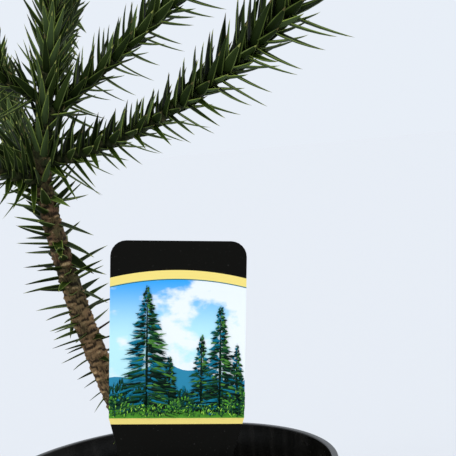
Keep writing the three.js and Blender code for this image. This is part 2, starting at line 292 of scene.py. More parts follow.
@dataclass(frozen=True)
class BarkFinish:
    """Scaly brown bark with pale patches, painted highlight on its ridges and painted shade in its
    crevices, and green live skin on young wood, which round the lowest whorl is also painted shade.
    """

    # Painted shade in the hollows of the relief.
    crevice_shade: Triple = (0.013, 0.009, 0.0045)
    bark: Triple = (0.105, 0.071, 0.029)
    # Pale bark of its own on patches, and painted highlight on the ridges.
    pale_ridge_and_highlight: Triple = (0.48, 0.335, 0.17)
    plum: Triple = (0.2, 0.105, 0.055)
    brown: Triple = (0.31, 0.19, 0.092)  # on the oldest wood
    lichen: Triple = (0.095, 0.105, 0.042)
    # The dark green of live skin, also painted shade round the lowest whorl.
    green: Triple = (0.014, 0.025, 0.006)

    def material(self) -> Material:
        """Makes the material. It reads the mesh's own relief and youth.

        Returns:
            The material.
        """
        paint = Paint("seedling_bark")
        place, relief, youth = paint.place(), paint.attribute("relief"), paint.attribute("youth")
        blotch = paint.noise(place, 130.0, 4.0, 0.6)
        grain = paint.noise(place, 1100.0, 5.0, 0.65)
        patch = paint.noise(place, 60.0, 3.0, 0.55).above(0.5, 0.12)
        mossy = paint.noise(place, 75.0, 5.0, 0.65).above(0.53, 0.16)
        old = (youth * -1.0).above(0.4, 0.4) * (0.55 + patch * 0.4)
        # Paler on blotches and high relief: pale patches of its own, and painted highlight on the ridges.
        pale_patch_and_ridge_highlight = (relief * 0.45 + blotch * 0.7 + grain * 0.5).above(1.0, 0.22)
        # Darker where the relief is low: painted shade in the crevices.
        low = 1.0 - (relief + grain * 0.25).above(0.4, 0.3)
        # Green live skin; round the lowest whorl also painted shade.
        live_skin_and_shade = (youth + blotch * 0.9 - 0.45).above(0.5, 0.25)
        base = paint.mix(blotch.above(0.54, 0.12), self.bark, self.plum)
        coats = [(old, self.brown), (mossy * 0.48, self.lichen), (pale_patch_and_ridge_highlight, self.pale_ridge_and_highlight)]
        coats += [(low * 0.9, self.crevice_shade), (live_skin_and_shade * 0.9, self.green)]
        for share, colour in coats:
            base = paint.mix(share, base, colour)
        return paint.finish(
            Base_Color=base,
            Roughness=0.74 + grain * 0.2,
            Specular_IOR_Level=0.2,
            Normal=paint.bump(grain, 0.0004, 0.8),
        )


@dataclass(frozen=True)
class PotFinish:
    """Thin black moulded plastic, satin, with dust and rub marks."""

    black: Triple = (0.003, 0.003, 0.0022)
    dust: Triple = (0.06, 0.056, 0.05)

    def material(self) -> Material:
        """Makes the material.

        Returns:
            The material.
        """
        paint = Paint("pot_black_plastic")
        place = paint.place()
        cloud = paint.noise(place, 22.0, 5.0, 0.6)
        speck = paint.noise(place, 620.0, 3.0, 0.6)
        streak = paint.noise(paint.scaled(place, (1, 1, 0.06)), 160.0, 4.0, 0.6)
        dusty = cloud.above(0.56, 0.3) * 0.35 + speck.above(0.7, 0.1) * 0.16
        rubbed = streak.above(0.6, 0.25) * 0.16
        return paint.finish(
            Base_Color=paint.mix(dusty + rubbed, self.black, self.dust),
            Roughness=0.16 + cloud * 0.2 + dusty * 0.3,
            Specular_IOR_Level=0.28,
            Normal=paint.bump(speck * 0.6 + streak * 0.4, 0.00012, 0.5),
        )


@dataclass(frozen=True)
class MixFinish:
    """A damp dark part of the potting mix, paler where it is drier."""

    name: str
    dark: Triple
    light: Triple

    def material(self) -> Material:
        """Makes the material.

        Returns:
            The material.
        """
        paint = Paint(self.name)
        clod = paint.noise(paint.place(), 190.0, 6.0, 0.65)
        crumb = paint.noise(paint.place(), 1400.0, 4.0, 0.7)
        dry = (clod * 0.6 + crumb * 0.4).above(0.52, 0.22)
        return paint.finish(
            Base_Color=paint.mix(dry, self.dark, self.light),
            Roughness=0.82 + crumb * 0.15,
            Normal=paint.bump(crumb * 0.6 + clod * 0.4, 0.0009, 0.9),
        )


class Limb:
    """A round limb along a line of points, with a radius for each distance along it."""

    def __init__(self, points: Array, reference: Triple, radius_at: Callable[[Array], Array]) -> None:
        """Measures the line.

        Args:
            points: The middle line, one point a row.
            reference: A direction that the line never runs along, which steadies its sides.
            radius_at: The radius for distances along the line.
        """
        self.points = points
        self.reference = np.asarray(reference, float)
        self.radius_at = radius_at
        steps = np.diff(points, axis=0)
        lengths = np.linalg.norm(steps, axis=1)
        self.reached = np.concatenate([[0.0], np.cumsum(lengths)])
        self.length = float(self.reached[-1])
        headings = steps / lengths[:, None]
        self.tangents = unit(np.vstack([headings[:1], headings[:-1] + headings[1:], headings[-1:]]))

    def _read(self, rows: Array, along: Array) -> Array:
        """Reads rows that belong to the line's points at distances between them."""
        return np.stack([np.interp(along, self.reached, column) for column in rows.T], axis=1)

    def place(self, along: Array) -> tuple[Array, Array, Array, Array]:
        """Positions and directions at distances along the limb. Past its ends it runs straight on.

        Args:
            along: The distances.

        Returns:
            Position, heading, side and up, each one row a distance.
        """
        heading = unit(self._read(self.tangents, along))
        past = along - np.clip(along, 0, self.length)
        position = self._read(self.points, along) + heading * past[:, None]
        side = unit(np.cross(self.reference, heading))
        return position, heading, side, np.cross(side, heading)

    def gap_to(self, points: Array) -> Array:
        """How far points lie outside the limb's skin.

        Args:
            points: The points, one a row.

        Returns:
            The gap for each point, negative inside.
        """
        start, step = self.points[:-1], np.diff(self.points, axis=0)
        offset = points[:, None, :] - start[None]
        share = np.clip((offset * step).sum(-1) / (step * step).sum(-1), 0, 1)
        distance = np.linalg.norm(offset - share[..., None] * step[None], axis=-1)
        return (distance - self.radius_at(self.reached[1:])[None]).min(axis=1)


@dataclass(frozen=True)
class Stem:
    """The bowed stem, as a smooth line through a few points over the potting mix."""

    knots: tuple[Triple, ...] = (
        (0, 0, 0), (-0.0303, 0.002, 0.092), (-0.0431, 0.001, 0.146), (-0.0493, 0, 0.196),
        (-0.0390, -0.002, 0.256), (-0.024, 0, 0.350), (-0.019, 0.002, 0.428),
    )
    points_per_knot: int = 24
    foot_radius: float = 0.0068
    tip_radius: float = 0.0016
    flare_radius: float = 0.002
    flare_height: float = 0.009

    def limb(self) -> Limb:
        """The stem as a limb.

        Returns:
            The stem's limb, which starts on the ground.
        """
        knots = np.array(self.knots) + [0, 0, GROUND]
        ends = np.vstack([2 * knots[0] - knots[1], knots, 2 * knots[-1] - knots[-2]])
        share = np.arange(self.points_per_knot)[:, None] / self.points_per_knot
        spans = []
        for before, start, end, after in zip(ends, ends[1:], ends[2:], ends[3:]):
            leave, arrive = (end - before) / 2, (after - start) / 2
            cubic = 2 * start - 2 * end + leave + arrive
            square = -3 * start + 3 * end - 2 * leave - arrive
            spans.append(((cubic * share + square) * share + leave) * share + start)
        points = np.vstack([*spans, knots[-1:]])
        length = np.linalg.norm(np.diff(points, axis=0), axis=1).sum()

        def radius_at(along: Array) -> Array:
            """Tapers from the foot's flare to the tip."""
            taper = lerp(self.foot_radius, self.tip_radius, np.clip(along / length, 0, 1))
            return taper + self.flare_radius * np.exp(-np.maximum(along, 0) / self.flare_height)

        return Limb(points, (0, 1, 0), radius_at)

    def youth(self, along: Array) -> Array:
        """How green its skin is, from -1 on old brown wood to 1 on live skin; its dark green round the
        lowest whorl is also painted shade of the whorl.
        """
        return 1.1 * smooth_step(along, 0.184, 0.235) - (1 - smooth_step(along, 0.125, 0.145))


@dataclass(frozen=True)
class Branch:
    """One branch: where it leaves the stem, how it climbs, and how long its leaves grow."""

    name: str
    along: float
    azimuth: float
    length: float
    rise: Pair
    bend: float
    leaf: float
    seed: int
    points: int = 60
    root_radius: float = 0.0008
    root_share: float = 0.010
    tip_radius: float = 0.0011
    collar: float = 0.3
    collar_reach: float = 0.008

    def limb(self, stem: Limb) -> Limb:
        """The branch as a limb.

        Args:
            stem: The stem's limb, on whose middle line it starts.

        Returns:
            The branch's limb.
        """
        share = ((np.arange(self.points) + 0.5) / self.points) ** self.bend
        climb = np.radians(lerp(*self.rise, share))
        heading = math.radians(self.azimuth)
        level = np.cos(climb)
        steps = np.stack([level * math.cos(heading), level * math.sin(heading), np.sin(climb)], axis=1)
        start = stem.place(np.array([self.along]))[0]
        points = np.vstack([start, start + np.cumsum(steps, axis=0) * self.length / self.points])
        root = self.root_radius + self.root_share * self.length

        def radius_at(along: Array) -> Array:
            """Tapers from the collar to the tip."""
            taper = lerp(root, self.tip_radius, np.clip(along / self.length, 0, 1))
            return taper * (1 + self.collar * np.exp(-np.maximum(along, 0) / self.collar_reach))

        return Limb(points, (0, 0, 1), radius_at)

    def youth(self, along: Array) -> Array:
        """How green its skin is, which grows from its root on."""
        return 0.55 + 0.6 * smooth_step(along / self.length, 0.0, 0.12)


# Name, place along the stem, azimuth, length, rise from and to, bend, length of leaves, seed.
BRANCHES = (
    Branch("low_1", 0.2055, -36, 0.235, (6, 51.5), 1.1, 0.0295, 11),
    Branch("low_2", 0.194, 103, 0.215, (14, 42), 1.2, 0.026, 12),
    Branch("low_3", 0.207, 172, 0.222, (12, 44), 1.1, 0.027, 13),
    Branch("low_4", 0.196, 232, 0.208, (12, 46), 1.2, 0.026, 14),
    Branch("mid_1", 0.2290, -8, 0.190, (32, 50), 1, 0.031, 21),
    Branch("mid_2", 0.245, 80, 0.172, (30, 50), 1, 0.026, 22),
    Branch("mid_3", 0.239, 202, 0.178, (28, 52), 1, 0.026, 23),
    Branch("top_1", 0.340, 44, 0.128, (32, 56), 1, 0.024, 31),
    Branch("top_2", 0.349, 137, 0.118, (34, 58), 1, 0.023, 32),
    Branch("top_3", 0.342, 221, 0.126, (32, 56), 1, 0.024, 33),
    Branch("top_4", 0.351, 312, 0.116, (36, 58), 1, 0.023, 34),
)


@dataclass
class Leaves:
    """Many leaves, one a row: where they stand and how they are cut."""

    SPACING = 0.0006  # how much nearer to their own limb's skin than to another's they lie
    CROSSING = 0.0012  # this far from another limb's skin, they may cross its leaves
    SIZES = (1.0, 0.7, 0.45)  # the shares of its length that a leaf tries in turn
    STATIONS = (0.35, 0.55, 0.75, 1.0)  # where along a leaf its gaps are measured

    root: Array
    direction: Array
    across: Array
    length: Array
    width: Array
    curl: Array
    suit: Array

    def chosen(self, keep: Array) -> "Leaves":
        """Only the leaves where keep is true."""
        return Leaves(*(getattr(self, name)[keep] for name in self.__dataclass_fields__))

    def clear_of(self, own: Limb, others: Sequence[Limb]) -> "Leaves":
        """Shortens leaves that come nearer to another limb than to their own, or drops them.

        Args:
            own: The limb they stand on.
            others: The limbs they keep clear of.

        Returns:
            The leaves that keep their space.
        """
        placed = np.zeros(len(self.root), bool)
        size = np.ones(len(self.root))
        for tried in self.SIZES:
            size[~placed] = tried
            placed |= self._free(size, own, others)
        kept = self.chosen(placed)
        kept.length = kept.length * size[placed]
        kept.width = kept.width * size[placed] ** 0.6
        return kept

    def _free(self, size: Array, own: Limb, others: Sequence[Limb]) -> Array:
        """Which leaves keep clear of the other limbs.

        Args:
            size: The share of each leaf's length.
            own: The limb they stand on.
            others: The limbs they keep clear of.

        Returns:
            True for each leaf that does.
        """
        keep = np.ones(len(self.root), bool)
        for share in self.STATIONS:
            half = self.width / 2 * min(1.0, 1.35 * (1 - share))
            for edge in (-1, 1):
                point = self.root + self.direction * (self.length * size * share)[:, None]
                point = point + self.across * (edge * half)[:, None]
                limit = np.minimum(own.gap_to(point) + self.SPACING, self.CROSSING)
                for other in others:
                    keep &= other.gap_to(point) > limit
        return keep


@dataclass(frozen=True)
class LeafCut:
    """The cut of one stiff leaf: lance-shaped, dished above, keeled below, with a spine tip."""

    stations: tuple[float, ...] = (0.0, 0.1, 0.26, 0.48, 0.7, 0.88)
    half_widths: tuple[float, ...] = (0.85, 1.0, 0.99, 0.82, 0.52, 0.21)
    edge: float = 0.84  # where the margin starts, as a share of the half width; its pale tone is partly painted rim light
    dish: float = 0.22
    keel: float = 0.15
    rim: float = 0.02
    bulge: float = 1.3
    base_end: int = 2  # the darker base, painted shade at the leaf's foot, ends at this station

    def template(self) -> tuple[Array, list[tuple[int, ...]], list[LeafPart]]:
        """One leaf in shares of its length (x) and width (y, z).

        Returns:
            Vertices, faces and the part that each face belongs to.
        """
        vertices = []
        for x, half in zip(self.stations, self.half_widths):
            outer, inner = half / 2, half / 2 * self.edge
            depth = self.dish * outer + self.keel * math.sqrt(half)
            rim = -self.rim * half
            under = -depth * (1 - self.edge) * self.bulge + rim
            above = [(-outer, 0), (-inner, rim), (0, -self.dish * outer), (inner, rim), (outer, 0)]
            vertices += [(x, y, z) for y, z in [*above, (inner, under), (0, -depth), (-inner, under)]]
        ring = 8
        last = len(vertices) - ring
        sides = [(a, (a + 1) % ring) for a in range(ring)]
        lit_margin, lower = LeafPart.MARGIN, LeafPart.UNDERSIDE
        faces: list[tuple[int, ...]] = [tuple(range(ring))]
        parts = [LeafPart.BASE]
        for low in range(0, last, ring):
            face = LeafPart.BASE if low < self.base_end * ring else LeafPart.BLADE
            faces += [(low + a, low + ring + a, low + ring + b, low + b) for a, b in sides]
            # The margin faces wear the edge tones, with their painted rim light.
            parts += [lit_margin, face, face, lit_margin, lit_margin, lower, lower, lit_margin]
        faces += [(last + a, len(vertices), last + b) for a, b in sides]
        parts += [LeafPart.SPINE] * ring
        return np.array([*vertices, (1.0, 0, 0)]), faces, parts

    def points(self, leaves: Leaves, vertices: Array) -> Array:
        """Places the template's vertices for every leaf.

        Args:
            leaves: Where the leaves stand.
            vertices: The template's vertices.

        Returns:
            One block of vertices for each leaf.
        """
        normal = np.cross(leaves.direction, leaves.across)
        x, y, z = (vertices[:, i][None, :, None] for i in range(3))
        length, width = leaves.length[:, None, None], leaves.width[:, None, None]
        bow = leaves.curl[:, None, None] * x * x * length
        placed = leaves.root[:, None] + leaves.direction[:, None] * (x * length)
        return placed + leaves.across[:, None] * (y * width) + normal[:, None] * (z * width + bow)

    def piece(self, name: str, leaves: Leaves) -> Piece:
        """Joins leaves into one mesh, with plain colours dealt out leaf by leaf.

        Args:
            name: The piece's name.
            leaves: Its leaves.

        Returns:
            The new piece.
        """
        vertices, faces, parts = self.template()
        tones = list(LEAF_TONES)
        table = np.array([[tones.index(tone) for tone in suit.value] for suit in LeafSuit])
        dealt = table[leaves.suit][:, [part.value for part in parts]]
        materials = [tone.material(key) for key, tone in LEAF_TONES.items()]
        return joined_copies(name, self.points(leaves, vertices), faces, dealt, materials)


@dataclass(frozen=True)
class Change:
    """A measure that changes smoothly over a stretch of a limb."""

    before: float
    after: float
    start: float
    end: float

    def at(self, along: Array) -> Array:
        """The measure at distances along the limb."""
        return lerp(self.before, self.after, smooth_step(along, self.start, self.end))


@dataclass(frozen=True)
class Habit:
    """How leaves grow at their distances along a limb."""

    length: Array
    width: Array
    opened: Array  # their angle to the limb
    curl: Array
    suit: Array
    slim: Array | float = 0.0  # how much narrower the lower leaves of a level limb are, as a share
    rubbed: Array | float = 0.0  # the share of leaves that hang on the rubbed side


@dataclass(frozen=True)
class Spiral:
    """How leaves follow each other along a limb, and how much they vary."""

    RUBBED_SIDE = (0.75, -0.66, 0)
    RUBBED_EDGE = (0.65, 0.85)  # from beside that side to well on it, as a cosine
    HANG = 48  # how much wider a hanging leaf opens
    UNDER = (0.58, 0.78)  # from a limb's flank to its underside, as the sine of the angle down
    BLUR = 0.06  # how unsharply the lower leaves are told from the others
    GAP = 4  # one in so many lower leaves of a branch is missing

    step: float
    turn_spread: float
    open_spread: float
    twist_spread: float
    length_spread: float
    length_limits: Pair = (-0.18, 0.1)
    stray: float = 0.3  # how far a leaf strays along the limb, in steps
    sunk: float = 0.55  # how deep the roots are, as a share of the limb's radius
    skyward: float = 0.0  # how far the lower leaves turn their upper faces to the sky
    lift: float = 0.0  # how far the upper leaves swing up
    sag: float = 0.0  # how much wider the lower leaves of an upright limb open, as a share
    flank: float = 0.0  # how much closer the leaves on its sides lie, as a share
    tuck: float = 0.0  # how much shorter the leaves on its lower flanks are, as a share
    crest: float = 0.0  # how much shorter the upper leaves of a level limb are, as a share
    hanging: float = 0.0  # the share of leaves that hang down

    def grow(
        self, limb: Limb, start: float, end: float, rule: Callable[[Array], Habit], rng: Random
    ) -> Leaves:
        """Sets leaves in a golden-angle spiral.

        Args:
            limb: The limb they stand on.
            start: Where the first leaf stands along the limb.
            end: Where the leaves stop.
            rule: Their habit for distances along the limb.
            rng: The seeded random numbers, which the rule draws from too.

        Returns:
            The leaves.
        """
        count = int((end - start) / self.step)
        order = np.arange(count)
        along = start + (order + rng.uniform(-self.stray, self.stray, count)) * self.step
        turn = np.radians(order * GOLDEN_ANGLE + rng.normal(0, self.turn_spread, count))
        habit = rule(along)
        opened = habit.opened + rng.normal(0, self.open_spread, count)
        length = habit.length * (1 + rng.normal(0, self.length_spread, count).clip(*self.length_limits))
        position, heading, side, up = limb.place(along)
        outward = side * np.cos(turn)[:, None] + up * np.sin(turn)[:, None]
        across = np.cross(heading, outward)
        rubbed = smooth_step(outward @ self.RUBBED_SIDE, *self.RUBBED_EDGE)
        hanging = self.hanging + habit.rubbed * rubbed
        opened += np.where(rng.uniform(size=count) < hanging, self.HANG, 0)
        under = smooth_step(rng.normal(-outward[:, 2], self.BLUR), *self.UNDER)
        level = np.clip(0.5 - heading[:, 2], 0, self.crest) * smooth_step(along, 0.015, 0.04)
        length *= 1 - level * smooth_step(outward[:, 2], -0.1, 0.6)
        length *= 1 - self.tuck * smooth_step(-outward[:, 2], 0.0, 0.4) * (1 - under)
        side_on = 1 - np.maximum(outward[:, 2], 0) ** 2
        opened *= 1 + self.sag * under * heading[:, 2] ** 3 - self.flank * side_on * (1 - under)
        opened = np.radians(opened)
        direction = heading * np.cos(opened)[:, None] + outward * np.sin(opened)[:, None]
        lift = self.lift * smooth_step(outward[:, 2:], -0.35, 0.35)
        direction = unit(direction + lift * np.array([0, 0, 1.0]))
        across = unit(across - direction * (across * direction).sum(axis=1, keepdims=True))
        across = self._turned(direction, across, outward)
        twist = np.radians(rng.normal(0, self.twist_spread, count))[:, None]
        across = across * np.cos(twist) + np.cross(direction, across) * np.sin(twist)
        radius = limb.radius_at(along)
        root = position + outward * (radius * self.sunk)[:, None]
        length = length + radius * (1 - self.sunk)
        width = habit.width * (1 - habit.slim * under * (1 - heading[:, 2]))
        # A branch's lower leaves wear the lighter middle suit: painted light on them from below.
        suit = np.where(under * habit.slim > 0, list(LeafSuit).index(LeafSuit.MIDDLE), habit.suit)
        leaves = Leaves(root, direction, across, length, width, habit.curl, suit)
        rank = np.cumsum(under > 0.5)
        return leaves.chosen((under < 0.5) | (rank % self.GAP > 0)) if self.crest else leaves

    def _turned(self, direction: Array, across: Array, outward: Array) -> Array:
        """Turns leaves on a limb's lower side, so that their upper faces look at the sky.

        Args:
            direction: Where the leaves point.
            across: Their width's direction.
            outward: Where they stand round the limb.

        Returns:
            Their turned width's direction.
        """
        normal = np.cross(direction, across)
        upright = unit(np.array([0, 0, 1.0]) - direction * direction[:, 2:] + 1e-9)
        share = self.skyward * smooth_step(-outward[:, 2:], -0.1, 0.5)
        return np.cross(unit(lerp(normal, upright, share)), direction)


def new_piece(name: str, materials: Sequence[Material]) -> Piece:
    """Adds an empty piece to the scene.

    Args:
        name: Its name.
        materials: Its materials, in the order of the faces' indices.

    Returns:
        The new piece.
    """
    mesh = bpy.data.meshes.new(name)
    for material in materials:
        mesh.materials.append(material)
    piece = bpy.data.objects.new(name, mesh)
    bpy.context.scene.collection.objects.link(piece)
    return piece


def joined_copies(
    name: str, points: Array, faces: Sequence[Sequence[int]], dealt: Array, materials: Sequence[Material]
) -> Piece:
    """Joins many placed copies of one template into a piece.

    Args:
        name: The piece's name.
        points: A block of placed vertices for each copy.
        faces: The template's faces.
        dealt: A row of material indices, one for each face, for each copy.
        materials: The materials.

    Returns:
        The new piece.
    """
    count, size = points.shape[:2]
    copies = np.arange(count)[:, None]
    sizes = np.array([len(face) for face in faces])
    corners = np.concatenate([np.array(face) for face in faces])
    starts = np.concatenate([[0], np.cumsum(sizes)[:-1]])
    piece = new_piece(name, materials)
    mesh = piece.data
    mesh.vertices.add(count * size)
    mesh.vertices.foreach_set("co", points.astype(np.float32).ravel())
    mesh.loops.add(count * len(corners))
    mesh.loops.foreach_set("vertex_index", (corners + copies * size).astype(np.int32).ravel())
    mesh.polygons.add(count * len(faces))
    mesh.polygons.foreach_set("loop_start", (starts + copies * len(corners)).astype(np.int32).ravel())
    mesh.polygons.foreach_set("material_index", dealt.astype(np.int32).ravel())
    mesh.update(calc_edges=True)
    mesh.validate()
    return piece


def add_piece(name: str, bm: Shape, materials: Sequence[Material]) -> Piece:
    """Turns a bmesh into a piece of the scene.

    Args:
        name: The piece's name.
        bm: Its shape, which is freed.
        materials: Its materials.

    Returns:
        The new piece.
    """
    piece = new_piece(name, materials)
    bm.to_mesh(piece.data)
    bm.free()
    return piece


def spun(section: Sequence[Pair], sides: int) -> Shape:
    """Spins a section round the Z axis into a closed shell.

    Args:
        section: Radius and height of its points, from the axis round to the axis.
        sides: Faces round the axis.

    Returns:
        The shell.
    """
    bm = bmesh.new()
    verts = [bm.verts.new((radius, 0, height)) for radius, height in section]
    geom = verts + [bm.edges.new(pair) for pair in zip(verts, verts[1:])]
    turn = 2 * math.pi
    bmesh.ops.spin(bm, geom=geom, cent=(0, 0, 0), axis=(0, 0, 1), angle=turn, steps=sides, use_merge=True)
    bmesh.ops.remove_doubles(bm, verts=bm.verts, dist=1e-6)
    bmesh.ops.recalc_face_normals(bm, faces=bm.faces)
    return bm


def shade_smooth(piece: Piece, angle: float) -> None:
    """Shades a piece smooth up to an angle between faces."""
    piece.data.shade_smooth()
    piece.data.set_sharp_from_angle(angle=math.radians(angle))


def mount(piece: Piece, slot: Slot, *nodes: str) -> None:
    """Fastens a piece to the part's body, in place of CAD nodes.

    Args:
        piece: The finished piece.
        slot: The record's slot. It is not used.
        nodes: The CAD nodes that it replaces.
    """
    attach(piece, BODY)
    if nodes:
        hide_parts(*nodes)
    LOG.info("%s: %d faces", piece.name, len(piece.data.polygons))


@dataclass(frozen=True)
class LimbSkin:
    """The skin of a limb: overlapping old leaf bases and fine cracks."""

    sides: int  # faces round the limb
    scale_step: float  # along the limb, from one scale to the next
    scale_high: float
    depth: float
    crack_depth: float
    scatter: float  # how far the scales stray, in steps
    sink: float  # which height lies on the limb's own radius
    scale_wide: float = 0.0016

    def _heights(self, limb: Limb, along: Array, turn: Array, rng: Random) -> Array:
        """The scales' height on a grid round the limb.

        Args:
            limb: The limb.
            along: The grid's distances along it.
            turn: The grid's angles round it.
            rng: The seeded random numbers.

        Returns:
            Heights from about 0 to 1, one row a distance.
        """
        height = np.zeros((len(along), len(turn)))
        for k in range(int((along[-1] - along[0]) / self.scale_step)):
            place = along[0] + k * self.scale_step + rng.normal(0, self.scale_step * self.scatter)
            angle = math.radians(k * GOLDEN_ANGLE) + rng.normal(0, 0.16 + 0.25 * self.scatter)
            size = rng.uniform(0.7, 1.45)
            near = np.abs(along - place) < self.scale_high * 3
            rise = (along[near] - place) / (self.scale_high * size)
            away = (turn - angle + math.pi) % (2 * math.pi) - math.pi
            wide = away * limb.radius_at(np.array([place]))[0] / (self.scale_wide * size)
            lift = rise[:, None] + 0.35 * wide[None] ** 2
            lip = np.exp(-(lift**2)) - 0.55 * np.exp(-((lift - 1.5) ** 2))
            height[near] += lip * np.exp(-(wide[None] ** 2)) * rng.uniform(0.3, 1.0)
        low, high = np.percentile(height, [2, 98])
        return np.clip((height - low) / (high - low), 0, 1)

    def roll(
        self, bm: Shape, limb: Limb, span: Pair, rings: int, youth: Callable[[Array], Array], seed: int
    ) -> None:
        """Rolls a grid round a limb and raises its relief.

        Args:
            bm: The bmesh that it is added to.
            limb: The limb.
            span: Where the skin starts and ends along the limb.
            rings: Faces along the limb.
            youth: How green the skin is, for distances along the limb.
            seed: The relief's seed.
        """
        rng = np.random.default_rng(seed)
        along = np.linspace(*span, rings + 1)
        turn = np.linspace(0, 2 * math.pi, self.sides + 1)[:-1]
        height = self._heights(limb, along, turn, rng)
        cracks = np.cumsum(rng.normal(0, 1, height.shape), axis=0)
        cracks = cracks - (np.roll(cracks, 6, axis=0) + np.roll(cracks, -6, axis=0)) / 2
        cracks = np.clip(cracks / 3, -1, 1)
        position, _, side, up = limb.place(along)
        radius = limb.radius_at(along)[:, None] + (height - self.sink) * self.depth
        radius = radius + cracks * self.crack_depth
        skin = position[:, None] + side[:, None] * (radius * np.cos(turn))[..., None]
        skin = skin + up[:, None] * (radius * np.sin(turn))[..., None]
        layers = bm.verts.layers.float
        relief, age = (layers.get(name) or layers.new(name) for name in ("relief", "youth"))
        ages = youth(along)
        made = bmesh.ops.create_grid(bm, x_segments=self.sides, y_segments=rings, size=0.5)["verts"]
        for vert in made:
            a = round((vert.co.x + 0.5) * self.sides) % self.sides
            r = round((vert.co.y + 0.5) * rings)
            vert.co = skin[r, a]
            vert[relief] = float(height[r, a] + cracks[r, a] * 0.15)
            vert[age] = float(ages[r])
        bmesh.ops.remove_doubles(bm, verts=made, dist=1e-7)
        bmesh.ops.holes_fill(bm, edges=[edge for edge in bm.edges if edge.is_boundary], sides=0)


@dataclass
class Plant:
    """The stem, its branches and all their leaves."""

    # Weights over the suits for old, grown and fresh leaves of the stem, and for grown and fresh
    # ones of a branch.
    STEM_WEIGHTS = np.array(
        [[0.34, 0.33, 0.24, 0.07, 0.02], [0.28, 0.24, 0.26, 0.22, 0.0], [0.05, 0.25, 0.45, 0.25, 0.0]]
    )
    BRANCH_WEIGHTS = np.array([[0.62, 0.26, 0.09, 0.03, 0.0], [0.28, 0.3, 0.28, 0.14, 0.0]])

    stem: Stem = Stem()
    branches: tuple[Branch, ...] = BRANCHES
    cut: LeafCut = LeafCut()
    old_skin: LimbSkin = LimbSkin(
        72, scale_step=0.00048, scale_high=0.00078, depth=0.0013, crack_depth=0.00022, scatter=1.6,
        sink=0.15,
    )
    young_skin: LimbSkin = LimbSkin(
        20, scale_step=0.0006, scale_high=0.001, depth=0.0008, crack_depth=0.0001, scatter=0.4, sink=0.6
    )
    stem_spiral: Spiral = Spiral(
        0.0009, turn_spread=8, open_spread=4.5, twist_spread=14, length_spread=0.12, hanging=0.02
    )
    branch_spiral: Spiral = Spiral(
        0.00086, turn_spread=3.5, open_spread=2.5, twist_spread=6, length_spread=0.08, skyward=0.85,
        lift=0.4, sag=1.3, flank=0.27, tuck=0.34, crest=0.2,
    )
    stem_length: Change = Change(0.006, 0.0195, 0.04, 0.155)
    top_length: float = 0.0215  # of the stem's leaves from the lowest whorl up
    stem_opened: Change = Change(107, 75, 0.055, 0.145)
    top_opened: float = 36
    bud_opened: float = 14
    stem_droop: Change = Change(-0.1, 0.06, 0.12, 0.22)
    old_leaf_width: float = 0.27  # as a share of the length
    leaf_width: float = 0.195
    stem_lost: Change = Change(0.64, 0.2, 0.05, 0.15)  # the share of leaves that have dropped
    leaf_breadth: float = 0.036  # a branch leaf's width, for the root of its length
    # The stretches of the next four are shares of the branch.
    root_breadth: Change = Change(0.83, 1, 0, 0.5)
    root_length: Change = Change(0.35, 0, 0.02, 0.11)
    branch_length: Change = Change(0.65, 1, 0.28, 0.75)
    slim: Change = Change(0.4, 0.04, 0.42, 0.75)
    bud_length: float = 0.008
    bare_foot: float = 0.007  # the stem's first leaves stand this far above the ground
    root_gap: float = 0.0012  # between the stem's skin and a branch's first leaf
    sunk_foot: float = 0.003  # how deep the stem's skin goes into the ground
    stem_rings: int = 860
    twig_ring: float = 0.0009
    stem_nodes: tuple[tuple[str, float, float], ...] = (
        ("stem_leaves_lower", 0.0, 0.2),
        ("stem_leaves_upper", 0.2, 0.243),
        ("leader_leaves", 0.243, 0.346),
        ("leader_tip_leaves", 0.346, 1.0),
    )

    def __post_init__(self) -> None:
        """Lays out the limbs."""
        self.trunk = self.stem.limb()
        self.limbs = [branch.limb(self.trunk) for branch in self.branches]

    def _suits(self, weights: Array, rng: Random) -> Array:
        """Deals each leaf the index of a suit, by its row of weights."""
        edges = np.cumsum(weights / weights.sum(axis=1, keepdims=True), axis=1)
        return (rng.uniform(size=(len(weights), 1)) > edges[:, :-1]).sum(axis=1)

    def stem_rule(self, rng: Random, along: Array) -> Habit:
        """The habit of leaves on the stem.

        Args:
            rng: The seeded random numbers.
            along: Distances along the stem.

        Returns:
            Their habit: short and flat out at the foot, long and steep over the lowest whorl.
        """
        tip = self.trunk.length + self.bud_length
        closing = smooth_step(along, tip - 0.03, tip)
        length = lerp(self.stem_length.at(along), self.top_length, smooth_step(along, 0.19, 0.25))
        length *= lerp(1, 0.8, closing)
        opened = lerp(self.stem_opened.at(along), self.top_opened, smooth_step(along, 0.168, 0.215))
        young = smooth_step(along, 0.185, 0.215)
        old, grown, fresh = self.STEM_WEIGHTS
        freshness = np.maximum(closing, 0.6 * band(along, 0.182, 0.192, 0.205, 0.22))[:, None]
        return Habit(
            length=length,
            width=length * lerp(self.old_leaf_width, self.leaf_width, young),
            opened=lerp(opened, self.bud_opened, closing),
            curl=self.stem_droop.at(along) + rng.normal(0, 0.05, len(along)),
            suit=self._suits(lerp(lerp(old, grown, young[:, None]), fresh, freshness), rng),
            rubbed=0.9 * band(along, 0.13, 0.145, 0.175, 0.19),
        )

    def branch_rule(self, branch: Branch, rng: Random, along: Array) -> Habit:
        """The habit of leaves on a branch.

        Args:
            branch: The branch.
            rng: The seeded random numbers.
            along: Distances along it.

        Returns:
            Their habit: longest towards the branch's end, and closed at its tip.
        """
        share = along / branch.length
        closing = smooth_step(share, 0.9, 1.0)
        length = self.branch_length.at(share) + self.root_length.at(share)
        length = branch.leaf * length * lerp(1, 0.68, closing)
        weights = lerp(*self.BRANCH_WEIGHTS, smooth_step(share, 0.75, 1.0)[:, None])
        return Habit(
            length=length,
            width=np.sqrt(length) * self.leaf_breadth * self.root_breadth.at(share),
            opened=lerp(lerp(60, 53, share), self.bud_opened, closing),
            curl=0.09 + rng.normal(0, 0.025, len(along)),
            suit=self._suits(weights, rng),
            slim=self.slim.at(share),
        )

